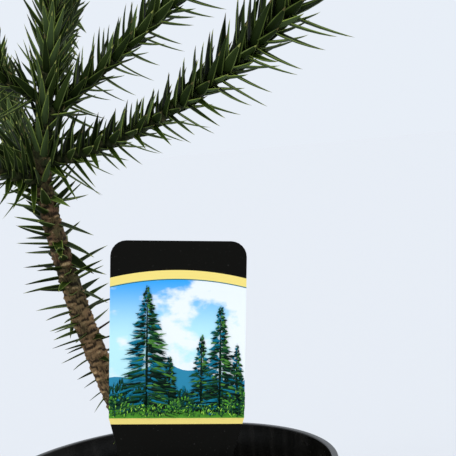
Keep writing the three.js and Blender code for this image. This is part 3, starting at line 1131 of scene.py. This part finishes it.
    def build_bark(self) -> None:
        """Makes the stem's and the boughs' bark, and the twigs inside the foliage."""
        finish = BarkFinish().material()
        bm = bmesh.new()
        span = (-self.sunk_foot, self.trunk.length)
        self.old_skin.roll(bm, self.trunk, span, self.stem_rings, self.stem.youth, 1)
        mount(add_piece("bark_of_stem", bm, [finish]), Slot.BARK, "trunk")
        bm = bmesh.new()
        for branch, limb in zip(self.branches, self.limbs):
            rings = int(branch.length / self.twig_ring)
            self.young_skin.roll(bm, limb, (0.001, branch.length), rings, branch.youth, branch.seed)
        twigs = add_piece("bark_of_branches", bm, [finish])
        mount(twigs, Slot.BARK, *(f"bough_{branch.name}" for branch in self.branches))
        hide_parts(*(f"foliage_{branch.name}" for branch in self.branches))

    def build_branch_leaves(self) -> None:
        """Grows the leaves of every branch."""
        for i, (branch, limb) in enumerate(zip(self.branches, self.limbs)):
            rng = np.random.default_rng(branch.seed)
            start = self.trunk.radius_at(np.array([branch.along]))[0] + self.root_gap
            rule = partial(self.branch_rule, branch, rng)
            leaves = self.branch_spiral.grow(limb, start, branch.length, rule, rng)
            others = [self.trunk, *self.limbs[:i], *self.limbs[i + 1 :]]
            piece = self.cut.piece(f"leaves_{branch.name}", leaves.clear_of(limb, others))
            mount(piece, Slot.LEAF, f"foliage_{branch.name}")

    def build_stem_leaves(self) -> None:
        """Grows the leaves of the stem, in the stretches that the CAD nodes have."""
        rng = np.random.default_rng(5)
        end = self.trunk.length + self.bud_length - 0.004
        rule = partial(self.stem_rule, rng)
        leaves = self.stem_spiral.grow(self.trunk, self.bare_foot, end, rule, rng)
        along = self.bare_foot + np.arange(len(leaves.root)) * self.stem_spiral.step
        lost = self.stem_lost.at(along) * (1 - smooth_step(along, 0.172, 0.185))
        rubbed = band(along, 0.135, 0.15, 0.18, 0.19)
        lost = lost + 0.25 * rubbed * smooth_step(leaves.direction[:, 0], 0.0, 0.5)
        kept = rng.uniform(size=len(along)) >= lost
        for node, low, high in self.stem_nodes:
            part = leaves.chosen(kept & (along >= low) & (along < high))
            piece = self.cut.piece(f"needles_{node}", part.clear_of(self.trunk, self.limbs))
            mount(piece, Slot.LEAF, node)

    def build(self) -> None:
        """Makes the whole plant."""
        self.build_bark()
        self.build_branch_leaves()
        self.build_stem_leaves()


@dataclass(frozen=True)
class Pot:
    """A round nursery pot with a rolled lip, a straight collar and drain holes."""

    height: float = 0.1507
    rim_radius: float = 0.095
    lip_width: float = 0.0037
    lip_depth: float = 0.008
    lip_rounding: float = 0.0007
    lip_roll: float = 0.0006  # how far the lip's inner side is rounded
    wall: float = 0.0016
    floor: float = 0.0022
    collar_depth: float = 0.030
    collar_radius: float = 0.0918
    collar_step: float = 0.002
    base_radius: float = 0.072
    base_bevel: float = 0.003
    drain_count: int = 8
    drain_radius: float = 0.005
    drain_circle: float = 0.056
    sides: int = 144

    def profile(self) -> list[Pair]:
        """The wall's section, from the axis under the floor round the lip and back inside.

        Returns:
            Radius and height of its points.
        """
        foot = self.height - self.collar_depth
        body = self.collar_radius - self.collar_step
        lip = self.height - self.lip_depth
        inner = self.rim_radius - self.lip_width
        edge, roll = self.lip_rounding, self.lip_roll
        collar, base, bevel, wall = self.collar_radius, self.base_radius, self.base_bevel, self.wall
        under = [(0, 0), (base - bevel, 0), (base - bevel * 0.3, bevel * 0.3), (base, bevel)]
        step = [(body, foot - self.collar_step), (collar - 0.0003, foot - 0.0004), (collar, foot + 0.0006)]
        ledge = [(collar + 0.0002, lip - 0.0015), (collar + 0.0009, lip), (self.rim_radius, lip + 0.0006)]
        top = arc((self.rim_radius - edge, self.height - edge), edge, 0, 90, 4)
        top += arc((inner + roll, self.height - roll), roll, 90, 180, 4)
        inside = [(inner, lip + 0.0015), (collar - wall, lip - 0.002)]
        inside += [(collar - wall, foot + self.collar_step), (body - wall, foot)]
        inside += [(base - wall, self.floor), (0, self.floor)]
        return [*under, *step, *ledge, *top, *inside]

    def _drill(self, piece: Piece) -> None:
        """Cuts the drain holes into the floor.

        Args:
            piece: The pot without them.
        """
        bm = bmesh.new()
        sizes = {"radius1": self.drain_radius, "radius2": self.drain_radius, "depth": self.floor * 4}
        for x, y in arc((0, 0), self.drain_circle, 0, 360, self.drain_count)[:-1]:
            place = Matrix.Translation((x, y, 0))
            bmesh.ops.create_cone(bm, cap_ends=True, segments=24, matrix=place, **sizes)
        drill = add_piece("drain_drill", bm, [])
        cut = piece.modifiers.new("drain_holes", "BOOLEAN")
        cut.operation = "DIFFERENCE"
        cut.solver = "EXACT"
        cut.object = drill
        depsgraph = bpy.context.evaluated_depsgraph_get()
        mesh = bpy.data.meshes.new_from_object(piece.evaluated_get(depsgraph))
        piece.modifiers.clear()
        piece.data = mesh
        bpy.data.objects.remove(drill)

    def build(self) -> None:
        """Turns the pot and dresses it."""
        piece = add_piece("nursery_pot", spun(self.profile(), self.sides), [PotFinish().material()])
        self._drill(piece)
        shade_smooth(piece, 35)
        mount(piece, Slot.POT, "pot")


@dataclass(frozen=True)
class Lumps:
    """Loose lumps of one kind on the potting mix."""

    finish: MixFinish
    count: int
    sizes: Pair  # their least and greatest radius
    shape: Triple  # their length, width and height as shares of the radius


@dataclass(frozen=True)
class PottingMix:
    """The top of the potting mix, with loose crumbs, bark chips and fibres on it."""

    radius: float = 0.09
    edge_drop: float = 0.0018
    edge_rise: float = 0.0015  # where the mix creeps up the wall
    edge_width: float = 0.006
    clod: float = 0.0008
    grain: float = 0.00035
    calm_radius: float = 0.012  # inside it lies the stem's foot
    foot: tuple[Pair, ...] = ((0.0879, -0.0042), (0.0867, -0.012), (0, -0.012))  # under the top
    rings: int = 90
    sides: int = 160
    kinds: tuple[Lumps, ...] = (
        Lumps(MixFinish("peat_dark", (0.012, 0.0075, 0.005), (0.05, 0.031, 0.02)),
              2600, (0.0005, 0.0019), (1, 0.9, 0.75)),
        Lumps(MixFinish("bark_chip", (0.035, 0.018, 0.01), (0.12, 0.068, 0.038)),
              150, (0.0013, 0.0032), (1.5, 0.8, 0.35)),
        Lumps(MixFinish("peat_fibre", (0.06, 0.038, 0.022), (0.17, 0.12, 0.075)),
              120, (0.0012, 0.004), (2.2, 0.12, 0.1)),
    )

    def _height(self, radius: Array, turn: Array) -> Array:
        """The surface's height over the pot's underside.

        Args:
            radius: Distances from the axis.
            turn: Angles round it.

        Returns:
            The heights.
        """
        mound = GROUND - self.edge_drop * smooth_step(radius, 0.016, self.radius)
        mound += self.edge_rise * smooth_step(radius, self.radius - self.edge_width, self.radius)
        x, y = radius * np.cos(turn), radius * np.sin(turn)
        clods = np.sin(x * 310 + 1.3) * np.sin(y * 270 + 0.4) + 0.6 * np.sin(x * 610) * np.sin(y * 700)
        return mound - 0.0012 + self.clod * clods * smooth_step(radius, 0.006, 0.02)

    def _strewn(self, rng: Random, kind: Lumps, lump: Array) -> Array:
        """Strews lumps over the surface.

        Args:
            rng: The seeded random numbers.
            kind: Their kind.
            lump: The vertices of a round one of radius 1.

        Returns:
            A block of vertices for each lump.
        """
        count, shape = kind.count, kind.shape
        size = lerp(*kind.sizes, rng.uniform(size=count) ** 2)
        radius = np.sqrt(rng.uniform(0.008, 1, count)) * (self.radius - size * max(shape) * 1.2)
        turn = rng.uniform(0, 2 * math.pi, count)
        height = self._height(radius, turn) + size * shape[2] * 0.4
        place = np.stack([radius * np.cos(turn), radius * np.sin(turn), height], axis=1)
        heading = rng.uniform(0, 2 * math.pi, count)
        long = unit(np.stack([np.cos(heading), np.sin(heading), rng.normal(0, 0.3, count)], axis=1))
        wide = unit(np.stack([-np.sin(heading), np.cos(heading), rng.normal(0, 0.3, count)], axis=1))
        rough = lump + rng.normal(0, 0.15, (count, *lump.shape))
        axes = np.stack([long * shape[0], wide * shape[1], np.cross(long, wide) * shape[2]], axis=1)
        return place[:, None] + np.einsum("nvk,nkc->nvc", rough, axes * size[:, None, None])

    def build(self) -> None:
        """Makes the surface and what lies on it."""
        rng = np.random.default_rng(71)
        materials = [kind.finish.material() for kind in self.kinds]
        section = [(self.radius * k / self.rings, 0.0) for k in range(self.rings + 1)]
        bm = spun([*section, *self.foot], self.sides)
        for vert in bm.verts:
            radius, turn = math.hypot(vert.co.x, vert.co.y), math.atan2(vert.co.y, vert.co.x)
            if vert.co.z == 0:
                grain = rng.normal(0, self.grain) if radius > self.calm_radius else 0
                vert.co.z = float(self._height(np.array(radius), np.array(turn))) + grain
            else:
                vert.co.z += GROUND
        top = add_piece("potting_mix_top", bm, materials[:1])
        shade_smooth(top, 60)
        mount(top, Slot.MIX, "potting_mix")
        ball = bmesh.new()
        bmesh.ops.create_icosphere(ball, subdivisions=1, radius=1)
        lump = np.array([vert.co for vert in ball.verts])
        faces = [[vert.index for vert in face.verts] for face in ball.faces]
        ball.free()
        blocks = [self._strewn(rng, kind, lump) for kind in self.kinds]
        dealt = np.concatenate([np.full((len(block), len(faces)), i) for i, block in enumerate(blocks)])
        points = np.concatenate(blocks)
        mount(joined_copies("potting_mix_crumbs", points, faces, dealt, materials), Slot.MIX)


@dataclass(frozen=True)
class LabelPaint:
    """One plain printed colour of the label, under a gloss film."""

    name: str
    colour: Triple
    dust: Triple = (0.3, 0.29, 0.27)

    def material(self) -> Material:
        """Makes the print's material.

        Returns:
            The material.
        """
        paint = Paint(self.name)
        waver = paint.noise(paint.place(), 60.0, 2.0, 0.55)
        specks = paint.noise(paint.place(), 900.0, 3.0, 0.55).above(0.7, 0.08)
        return paint.finish(
            Base_Color=paint.mix(specks * 0.12, self.colour, self.dust),
            Roughness=0.24 + waver * 0.08,
            Specular_IOR_Level=0.06,
            Normal=paint.bump(waver, 0.0004, 0.15),
        )


@dataclass(frozen=True)
class SkyPaint:
    """The picture's sky: blue above, pale below, with soft plain clouds."""

    top: Triple = (0.002, 0.36, 0.93)
    bottom: Triple = (0.58, 0.94, 1.0)
    cloud: Triple = (0.98, 1.0, 1.0)

    def material(self) -> Material:
        """Makes the sky's material. It reads the label's own UV map.

        Returns:
            The material.
        """
        paint = Paint("label_sky")
        place = paint.node("ShaderNodeUVMap", {"uv_map": "print"})
        right, up = (paint.node("ShaderNodeSeparateXYZ", inputs={0: place}, output=i) for i in (0, 1))
        puff = paint.noise(paint.scaled(place, (2.2, 4.2, 1)), 1.5, 6.0, 0.5)
        shade = paint.mix(up.above(0.64, 0.42), self.bottom, self.top)
        veil = (puff + right * 0.22 - up * 0.1).above(0.555, 0.13)
        base = paint.mix(veil * 0.92, shade, self.cloud)
        return paint.finish(Base_Color=base, Roughness=0.27, Specular_IOR_Level=0.12)


class Ink(Enum):
    """The label's printed colours, in the order of its materials."""

    CREAM = (0.98, 0.785, 0.225)
    FAR_HILL = (0.03, 0.26, 0.42)
    NEAR_HILL = (0.007, 0.055, 0.03)
    MEADOW = (0.09, 0.33, 0.03)
    TREE_DARK = (0.002, 0.014, 0.008)
    TREE_GREEN = (0.008, 0.065, 0.025)
    TREE_TEAL = (0.006, 0.17, 0.27)
    TREE_LIGHT = (0.07, 0.22, 0.035)
    SKY_EDGE = (0.01, 0.16, 0.2)
    GRASS_BRIGHT = (0.36, 0.72, 0.08)

    @property
    def index(self) -> int:
        """Its place among the label's materials."""
        return list(Ink).index(self)


class Strokes:
    """Tapering brush strokes inside a picture, each with its ink."""

    STAND = 0.0055  # how high the conifers stand
    TIER = 0.00105  # from one tier of twigs to the next

    def __init__(self, half: float, foot: float, rng: Random) -> None:
        """Starts with no strokes.

        Args:
            half: How far they go to either side of the picture's middle.
            foot: How far down they go.
            rng: The seeded random numbers.
        """
        self.half, self.foot, self.rng = half, foot, rng
        self.outlines: list[list[Pair]] = []
        self.inks: list[int] = []

    def _inside(self, point: Pair) -> Pair:
        """Moves a point inside the picture's edges."""
        return (min(max(point[0], -self.half), self.half), max(point[1], self.foot))

    def add(self, start: Pair, end: Pair, width: float, ink: int) -> None:
        """Adds one stroke.

        Args:
            start: Its broad end in panel coordinates.
            end: Its point.
            width: Its greatest width.
            ink: Its ink's index.
        """
        start, end = self._inside(start), self._inside(end)
        first = Vector(start)
        run = Vector(end) - first if start != end else Vector((0, width))
        side = Vector((-run.y, run.x)).normalized() * width / 2
        middle = first + run * 0.4
        corners = [first - side * 0.5, middle - side, first + run, middle + side, first + side * 0.5]
        self.outlines.append([(corner.x, corner.y) for corner in corners])
        self.inks.append(ink)

    def drawn(self, weights: dict[Ink, float]) -> int:
        """Draws an ink's index by the inks' weights."""
        shares = np.array(list(weights.values()))
        return int(self.rng.choice([ink.index for ink in weights], p=shares / shares.sum()))

    def conifer(self, x: float, height: float, spread: float) -> None:
        """Adds one pointed conifer.

        Args:
            x: Where it stands.
            height: Its height.
            spread: Its half width at the foot.
        """
        rng = self.rng
        self.add((x, self.STAND), (x, self.STAND + height), 0.0013, Ink.TREE_DARK.index)
        tiers = int(height / self.TIER)
        for tier in range(tiers):
            share = tier / tiers
            z = self.STAND + height * (0.03 + 0.95 * share)
            reach = spread * (1 - share) ** 0.9 * (0.8 + 0.2 * math.sin(tier * 2.4)) + 0.0007
            for way in (-1, 1, -1, 1, -1, 1, 1):
                tip = reach * rng.uniform(0.35, 1.05)
                start = (x + way * tip * rng.uniform(0, 0.55), z + rng.normal(0, 0.0005))
                end = (x + way * tip, start[1] + tip * rng.uniform(-0.32, 0.12))
                lit = 0.5 - 0.5 * way * (0.3 + 0.7 * tip / reach)  # the light comes from the left
                weights = {Ink.TREE_DARK: 0.42, Ink.TREE_GREEN: 0.24, Ink.TREE_TEAL: 0.05 + 0.42 * lit}
                weights |= {Ink.NEAR_HILL: 0.1 * (1 - share), Ink.TREE_LIGHT: 0.06 + 0.16 * (1 - lit)}
                ink = self.drawn(weights)
                self.add(start, end, rng.uniform(0.0007, 0.0016), ink)


@dataclass
class PlantLabel:
    """A plain plant label: a black card with cream bands round a printed landscape."""

    BLACK = (0.0032, 0.003, 0.002)
    # Mean height, swell, phase and ink of each stretch of rolling land, from far to near.
    LAND = ((0.026, 0.0045, 2.0, Ink.FAR_HILL), (0.0145, 0.003, 5.2, Ink.NEAR_HILL),
            (0.0078, 0.0014, 9.0, Ink.MEADOW))
    # The inks of the wood and the grass with their weights, and those of the bushes.
    WOOD = dict(zip((Ink.NEAR_HILL, Ink.TREE_DARK, Ink.TREE_GREEN, Ink.TREE_TEAL, Ink.FAR_HILL),
                    (0.3, 0.2, 0.3, 0.12, 0.08)))
    GRASS = dict(zip((Ink.NEAR_HILL, Ink.MEADOW, Ink.TREE_LIGHT, Ink.GRASS_BRIGHT, Ink.TREE_GREEN),
                     (0.3, 0.24, 0.2, 0.12, 0.14)))
    BUSH = (Ink.NEAR_HILL, Ink.MEADOW, Ink.TREE_GREEN, Ink.TREE_LIGHT)
    WOOD_FOOT = 0.008
    WOOD_STROKES = 900
    BUSH_FOOT = 0.006
    BUSH_STROKES = 70
    GRASS_TOP = 0.0095
    GRASS_STROKES = 420
    # Where each conifer stands, its height and its half width, from far to near.
    CONIFERS = ((0.030, 0.036, 0.008), (-0.004, 0.030, 0.009), (0.012, 0.041, 0.010),
                (0.0215, 0.056, 0.0155), (-0.0155, 0.066, 0.0215))
    # Where each bush stands and its height.
    BUSHES = ((-0.030, 0.012), (0.003, 0.010), (0.029, 0.011), (-0.001, 0.007), (0.033, 0.014))

    width: float = 0.0684
    panel_height: float = 0.093
    corner: float = 0.008
    thickness: float = 0.0009
    neck_width: float = 0.034
    neck_drop: float = 0.060
    spike: float = 0.036
    foot: Triple = (0.008, -0.045, 0.1862)
    lean: float = 6.3
    film: float = 0.00004  # the thickness of one printed layer
    band_radius: float = 0.145
    band_top: float = 0.0783  # the curved band's upper edge in the middle
    band_height: float = 0.0044
    sky_edge: float = 0.0005
    foot_band: float = 0.0031
    stroke_lift: float = 0.00000018  # each stroke lies this much over the one before

    def __post_init__(self) -> None:
        """Makes the inks, and the sky after them."""
        inks = [LabelPaint(f"label_{ink.name.lower()}", ink.value).material() for ink in Ink]
        self.materials = [*inks, SkyPaint().material()]

    def placed(self, x: float, z: float, layer: int = 0) -> Vector:
        """A point on the front, in the part's frame.

        Args:
            x: To the right of the panel's middle.
            z: Above the panel's lower edge.
            layer: How many printed layers it lies on.

        Returns:
            The point.
        """
        lean = math.radians(self.lean)
        right = self.foot[0] + x * math.cos(lean) + z * math.sin(lean)
        up = self.foot[2] - x * math.sin(lean) + z * math.cos(lean)
        return Vector((right, self.foot[1] - self.thickness / 2 - self.film * layer, up))

    def _plate(
        self, bm: Shape, outline: Sequence[Pair], layer: int, thick: float
    ) -> tuple[dict[bmesh.types.BMVert, Pair], list[bmesh.types.BMFace]]:
        """Adds a thin closed plate to the front.

        Args:
            bm: The bmesh.
            outline: Its corners in panel coordinates, anticlockwise from the front.
            layer: The layer that its face lies on.
            thick: Its thickness.

        Returns:
            The outline's points by their vertices, and the plate's faces.
        """
        corners = {bm.verts.new(self.placed(x, z, layer)): (x, z) for x, z in outline}
        face = bm.faces.new(list(corners))
        made = bmesh.ops.extrude_face_region(bm, geom=[face])["geom"]
        verts = [vert for vert in made if isinstance(vert, bmesh.types.BMVert)]
        bmesh.ops.translate(bm, verts=verts, vec=(0, thick, 0))
        faces = list({face for vert in (*verts, *corners) for face in vert.link_faces})
        bmesh.ops.recalc_face_normals(bm, faces=faces)
        return corners, faces

    def _print(self, bm: Shape, outline: Sequence[Pair], layer: int, ink: int) -> None:
        """Prints a flat shape on the card.

        Args:
            bm: The bmesh.
            outline: Its corners in panel coordinates, anticlockwise.
            layer: Its printed layer.
            ink: Its ink's index.
        """
        uv = bm.loops.layers.uv.get("print") or bm.loops.layers.uv.new("print")
        corners, faces = self._plate(bm, outline, layer, self.film)
        for face in faces:
            face.material_index = ink
            for loop in face.loops:
                x, z = corners.get(loop.vert, (0, 0))
                loop[uv].uv = (x / self.width + 0.5, z / self.panel_height)

    def _band(self, drop: float, steps: int = 24) -> list[Pair]:
        """Points of the curved band's edge, from right to left.

        Args:
            drop: How far under the band's upper edge.
            steps: Pieces of the edge.

        Returns:
            The points in panel coordinates.
        """
        xs = [self.width * (0.5 - k / steps) for k in range(steps + 1)]
        radius = self.band_radius
        return [(x, self.band_top - drop - radius + math.sqrt(radius**2 - x * x)) for x in xs]

    def card(self) -> Piece:
        """The card itself, from its round upper corners to its spike.

        Returns:
            The card's piece.
        """
        half, neck = self.width / 2, self.neck_width / 2
        right = arc((half - self.corner, self.panel_height - self.corner), self.corner, 0, 90, 6)
        side = [(neck, -self.neck_drop), (half, self.foot_band), *right]
        outline = [(0, -self.neck_drop - self.spike), *side, *((-x, z) for x, z in reversed(side))]
        bm = bmesh.new()
        self._plate(bm, outline, 0, self.thickness)
        flats = [face for face in bm.faces if abs(face.normal.y) > 0.9]
        edges = list({edge for face in flats for edge in face.edges})
        size = {"offset": self.thickness * 0.2, "segments": 2, "profile": 0.5}
        bmesh.ops.bevel(bm, geom=edges, affect="EDGES", material=-1, **size)
        piece = add_piece("label_card", bm, [LabelPaint("label_black", self.BLACK).material()])
        shade_smooth(piece, 40)
        return piece

    def picture(self) -> Piece:
        """The printed bands, the sky and the land.

        Returns:
            The print's piece.
        """
        bm = bmesh.new()
        top, under = self._band(0), self._band(self.band_height)
        edge = self._band(self.band_height + self.sky_edge)
        half, foot = self.width / 2, self.foot_band
        slope = (half - self.neck_width / 2) / (self.neck_drop + foot) * foot
        bottom = [(-half, foot), (half, foot)]
        foot_band = [(slope - half, 0), (half - slope, 0), *reversed(bottom)]
        self._print(bm, [(half, foot), *under, (-half, foot)], 1, len(Ink))
        self._print(bm, [*under, *reversed(edge)], 2, Ink.SKY_EDGE.index)
        self._print(bm, [*top, *reversed(under)], 2, Ink.CREAM.index)
        self._print(bm, foot_band, 2, Ink.CREAM.index)
        xs = [half - self.width * k / 26 for k in range(27)]
        for layer, (height, swell, phase, ink) in enumerate(self.LAND, 2):
            waves = [math.sin(x * 90 + phase) + 0.4 * math.sin(x * 260 + 2 * phase) for x in xs]
            crest = [(x, height + swell * wave) for x, wave in zip(xs, waves)]
            self._print(bm, [*bottom, *crest], layer, ink.index)
        return add_piece("label_print", bm, self.materials)

    def _sketched(self) -> Strokes:
        """The strokes of the wood, the conifers, the bushes and the grass, from far to near.

        Returns:
            The strokes.
        """
        rng = np.random.default_rng(8)
        half, foot = self.width / 2, self.foot_band + 0.0004
        strokes = Strokes(half - 0.0003, self.foot_band + 0.0002, rng)
        for _ in range(self.WOOD_STROKES):
            x, share = rng.uniform(-half, half), rng.uniform(0, 1) ** 0.7
            crest = 0.0175 + 0.0035 * math.sin(x * 90 + 5.2) + 0.002 * math.sin(x * 610)
            z = self.WOOD_FOOT + (crest - self.WOOD_FOOT) * share
            tall = rng.uniform(0.0012, 0.0036)
            ink = strokes.drawn(self.WOOD)
            end = (x + rng.normal(0, 0.0003), z + tall)
            strokes.add((x, z), end, rng.uniform(0.0006, 0.0014), ink)
        for conifer in self.CONIFERS:
            strokes.conifer(*conifer)
        for x, height in self.BUSHES:
            for _ in range(self.BUSH_STROKES):
                turn, reach = rng.uniform(0.15, 3.0), height * rng.uniform(0.3, 0.75)
                start = (x + reach * 0.9 * math.cos(turn), self.BUSH_FOOT + reach * math.sin(turn))
                size = rng.uniform(0.0008, 0.002)
                end = (start[0] + size * math.cos(turn), start[1] + size * math.sin(turn))
                strokes.add(start, end, 0.0011, int(rng.choice([ink.index for ink in self.BUSH])))
        for _ in range(self.GRASS_STROKES):
            x, z = rng.uniform(-half, half), rng.uniform(foot, self.GRASS_TOP)
            end = (x + rng.normal(0, 0.0007), z + rng.uniform(0.0008, 0.0022) * (1.2 - (z - foot) * 60))
            strokes.add((x, z), end, 0.0005, strokes.drawn(self.GRASS))
        return strokes

    def painted(self) -> Piece:
        """The picture's strokes, each a thin plate over the one before.

        Returns:
            The strokes' piece.
        """
        strokes = self._sketched()
        outlines = np.array(strokes.outlines)
        front = np.array([[self.placed(x, z) for x, z in outline] for outline in outlines])
        front[..., 1] -= self.film * 5 + np.arange(len(outlines))[:, None] * self.stroke_lift
        points = np.concatenate([front, front + [0, self.film, 0]], axis=1)
        sides = outlines.shape[1]
        faces = [list(range(sides)), list(range(2 * sides - 1, sides - 1, -1))]
        faces += [[k, k + sides, (k + 1) % sides + sides, (k + 1) % sides] for k in range(sides)]
        dealt = np.repeat(np.array(strokes.inks)[:, None], len(faces), axis=1)
        return joined_copies("label_strokes", points, faces, dealt, self.materials[:-1])

    def build(self) -> None:
        """Makes the card and its print."""
        mount(self.card(), Slot.LABEL, "plant_label")
        mount(self.picture(), Slot.LABEL)
        mount(self.painted(), Slot.LABEL)


@dataclass(frozen=True)
class Studio:
    """The plain floor, the soft lights and the camera of the photograph."""

    camera_place: Triple = (0, -0.5981, 0.3266)
    camera_turn: Triple = (4.47, -4.54, 5.36)  # yaw to the right of +Y, pitch and roll
    focal_pixels: float = 1109.0
    frame_pixels: float = 456.0
    sensor: float = 36.0
    dome: float = 0.86  # how strongly the plain white world shines
    dome_colour: Triple = (0.94, 1.0, 1.085)
    floor_radius: float = 30.0
    floor_colour: Triple = (0.59976, 0.612, 0.63036)  # as bright under the lights as the world
    # Name, place on the way that it comes from, strength and how broad it looks.
    lights: tuple[tuple[str, Triple, float, float], ...] = (
        ("key", (-1.0, -0.9, 2.0), 1.6, 35),
        ("fill", (1.6, 0.4, 1.6), 0.5, 60),
    )

    def _camera(self) -> None:
        """Sets the camera where the photograph was taken from."""
        yaw, pitch, roll = (math.radians(angle) for angle in self.camera_turn)
        ahead = math.cos(pitch)
        forward = Vector((math.sin(yaw) * ahead, math.cos(yaw) * ahead, math.sin(pitch)))
        level = Vector((math.cos(yaw), -math.sin(yaw), 0))
        upright = level.cross(forward)
        right = level * math.cos(roll) - upright * math.sin(roll)
        up = level * math.sin(roll) + upright * math.cos(roll)
        data = bpy.data.cameras.new("photo_camera")
        data.sensor_width = self.sensor
        data.lens = self.sensor * self.focal_pixels / self.frame_pixels
        data.clip_start, data.clip_end = 0.01, 100
        camera = bpy.data.objects.new("photo_camera", data)
        turned = Matrix((right, up, -forward)).transposed().to_4x4()
        camera.matrix_world = Matrix.Translation(self.camera_place) @ turned
        bpy.context.scene.collection.objects.link(camera)
        bpy.context.scene.camera = camera

    def _floor(self) -> None:
        """Lays the floor."""
        bm = bmesh.new()
        bmesh.ops.create_circle(bm, cap_ends=True, segments=64, radius=self.floor_radius)
        paint = Paint("floor_pale")
        pale = paint.finish(Base_Color=self.floor_colour, Roughness=1.0, Specular_IOR_Level=0.0)
        floor = add_piece("floor", bm, [pale])

    def _world(self) -> None:
        """Makes a plain white world."""
        world = bpy.data.worlds.new("studio_white")
        world.use_nodes = True
        background = world.node_tree.nodes["Background"]
        background.inputs["Color"].default_value = (*self.dome_colour, 1)
        background.inputs["Strength"].default_value = self.dome
        bpy.context.scene.world = world

    def build(self) -> None:
        """Sets up camera, floor and lights."""
        self._camera()
        self._floor()
        self._world()
        for name, place, power, spread in self.lights:
            data = bpy.data.lights.new(name, "SUN")
            data.energy = power
            data.angle = math.radians(spread)
            light = bpy.data.objects.new(name, data)
            light.location = place
            light.rotation_mode = "QUATERNION"
            light.rotation_quaternion = (-Vector(place)).to_track_quat("-Z", "Y")
            bpy.context.scene.collection.objects.link(light)
        bpy.context.scene.view_settings.view_transform = "Standard"


def main() -> None:
    """Builds the studio, the pot and the plant, and reports each piece."""
    logging.basicConfig(level=logging.INFO, format="%(relativeCreated)d ms: %(message)s")
    for builder in (Studio, Pot, PottingMix, PlantLabel, Plant):
        builder().build()
        LOG.info("%s done", builder.__name__)


if __name__ == "__main__":
    main()
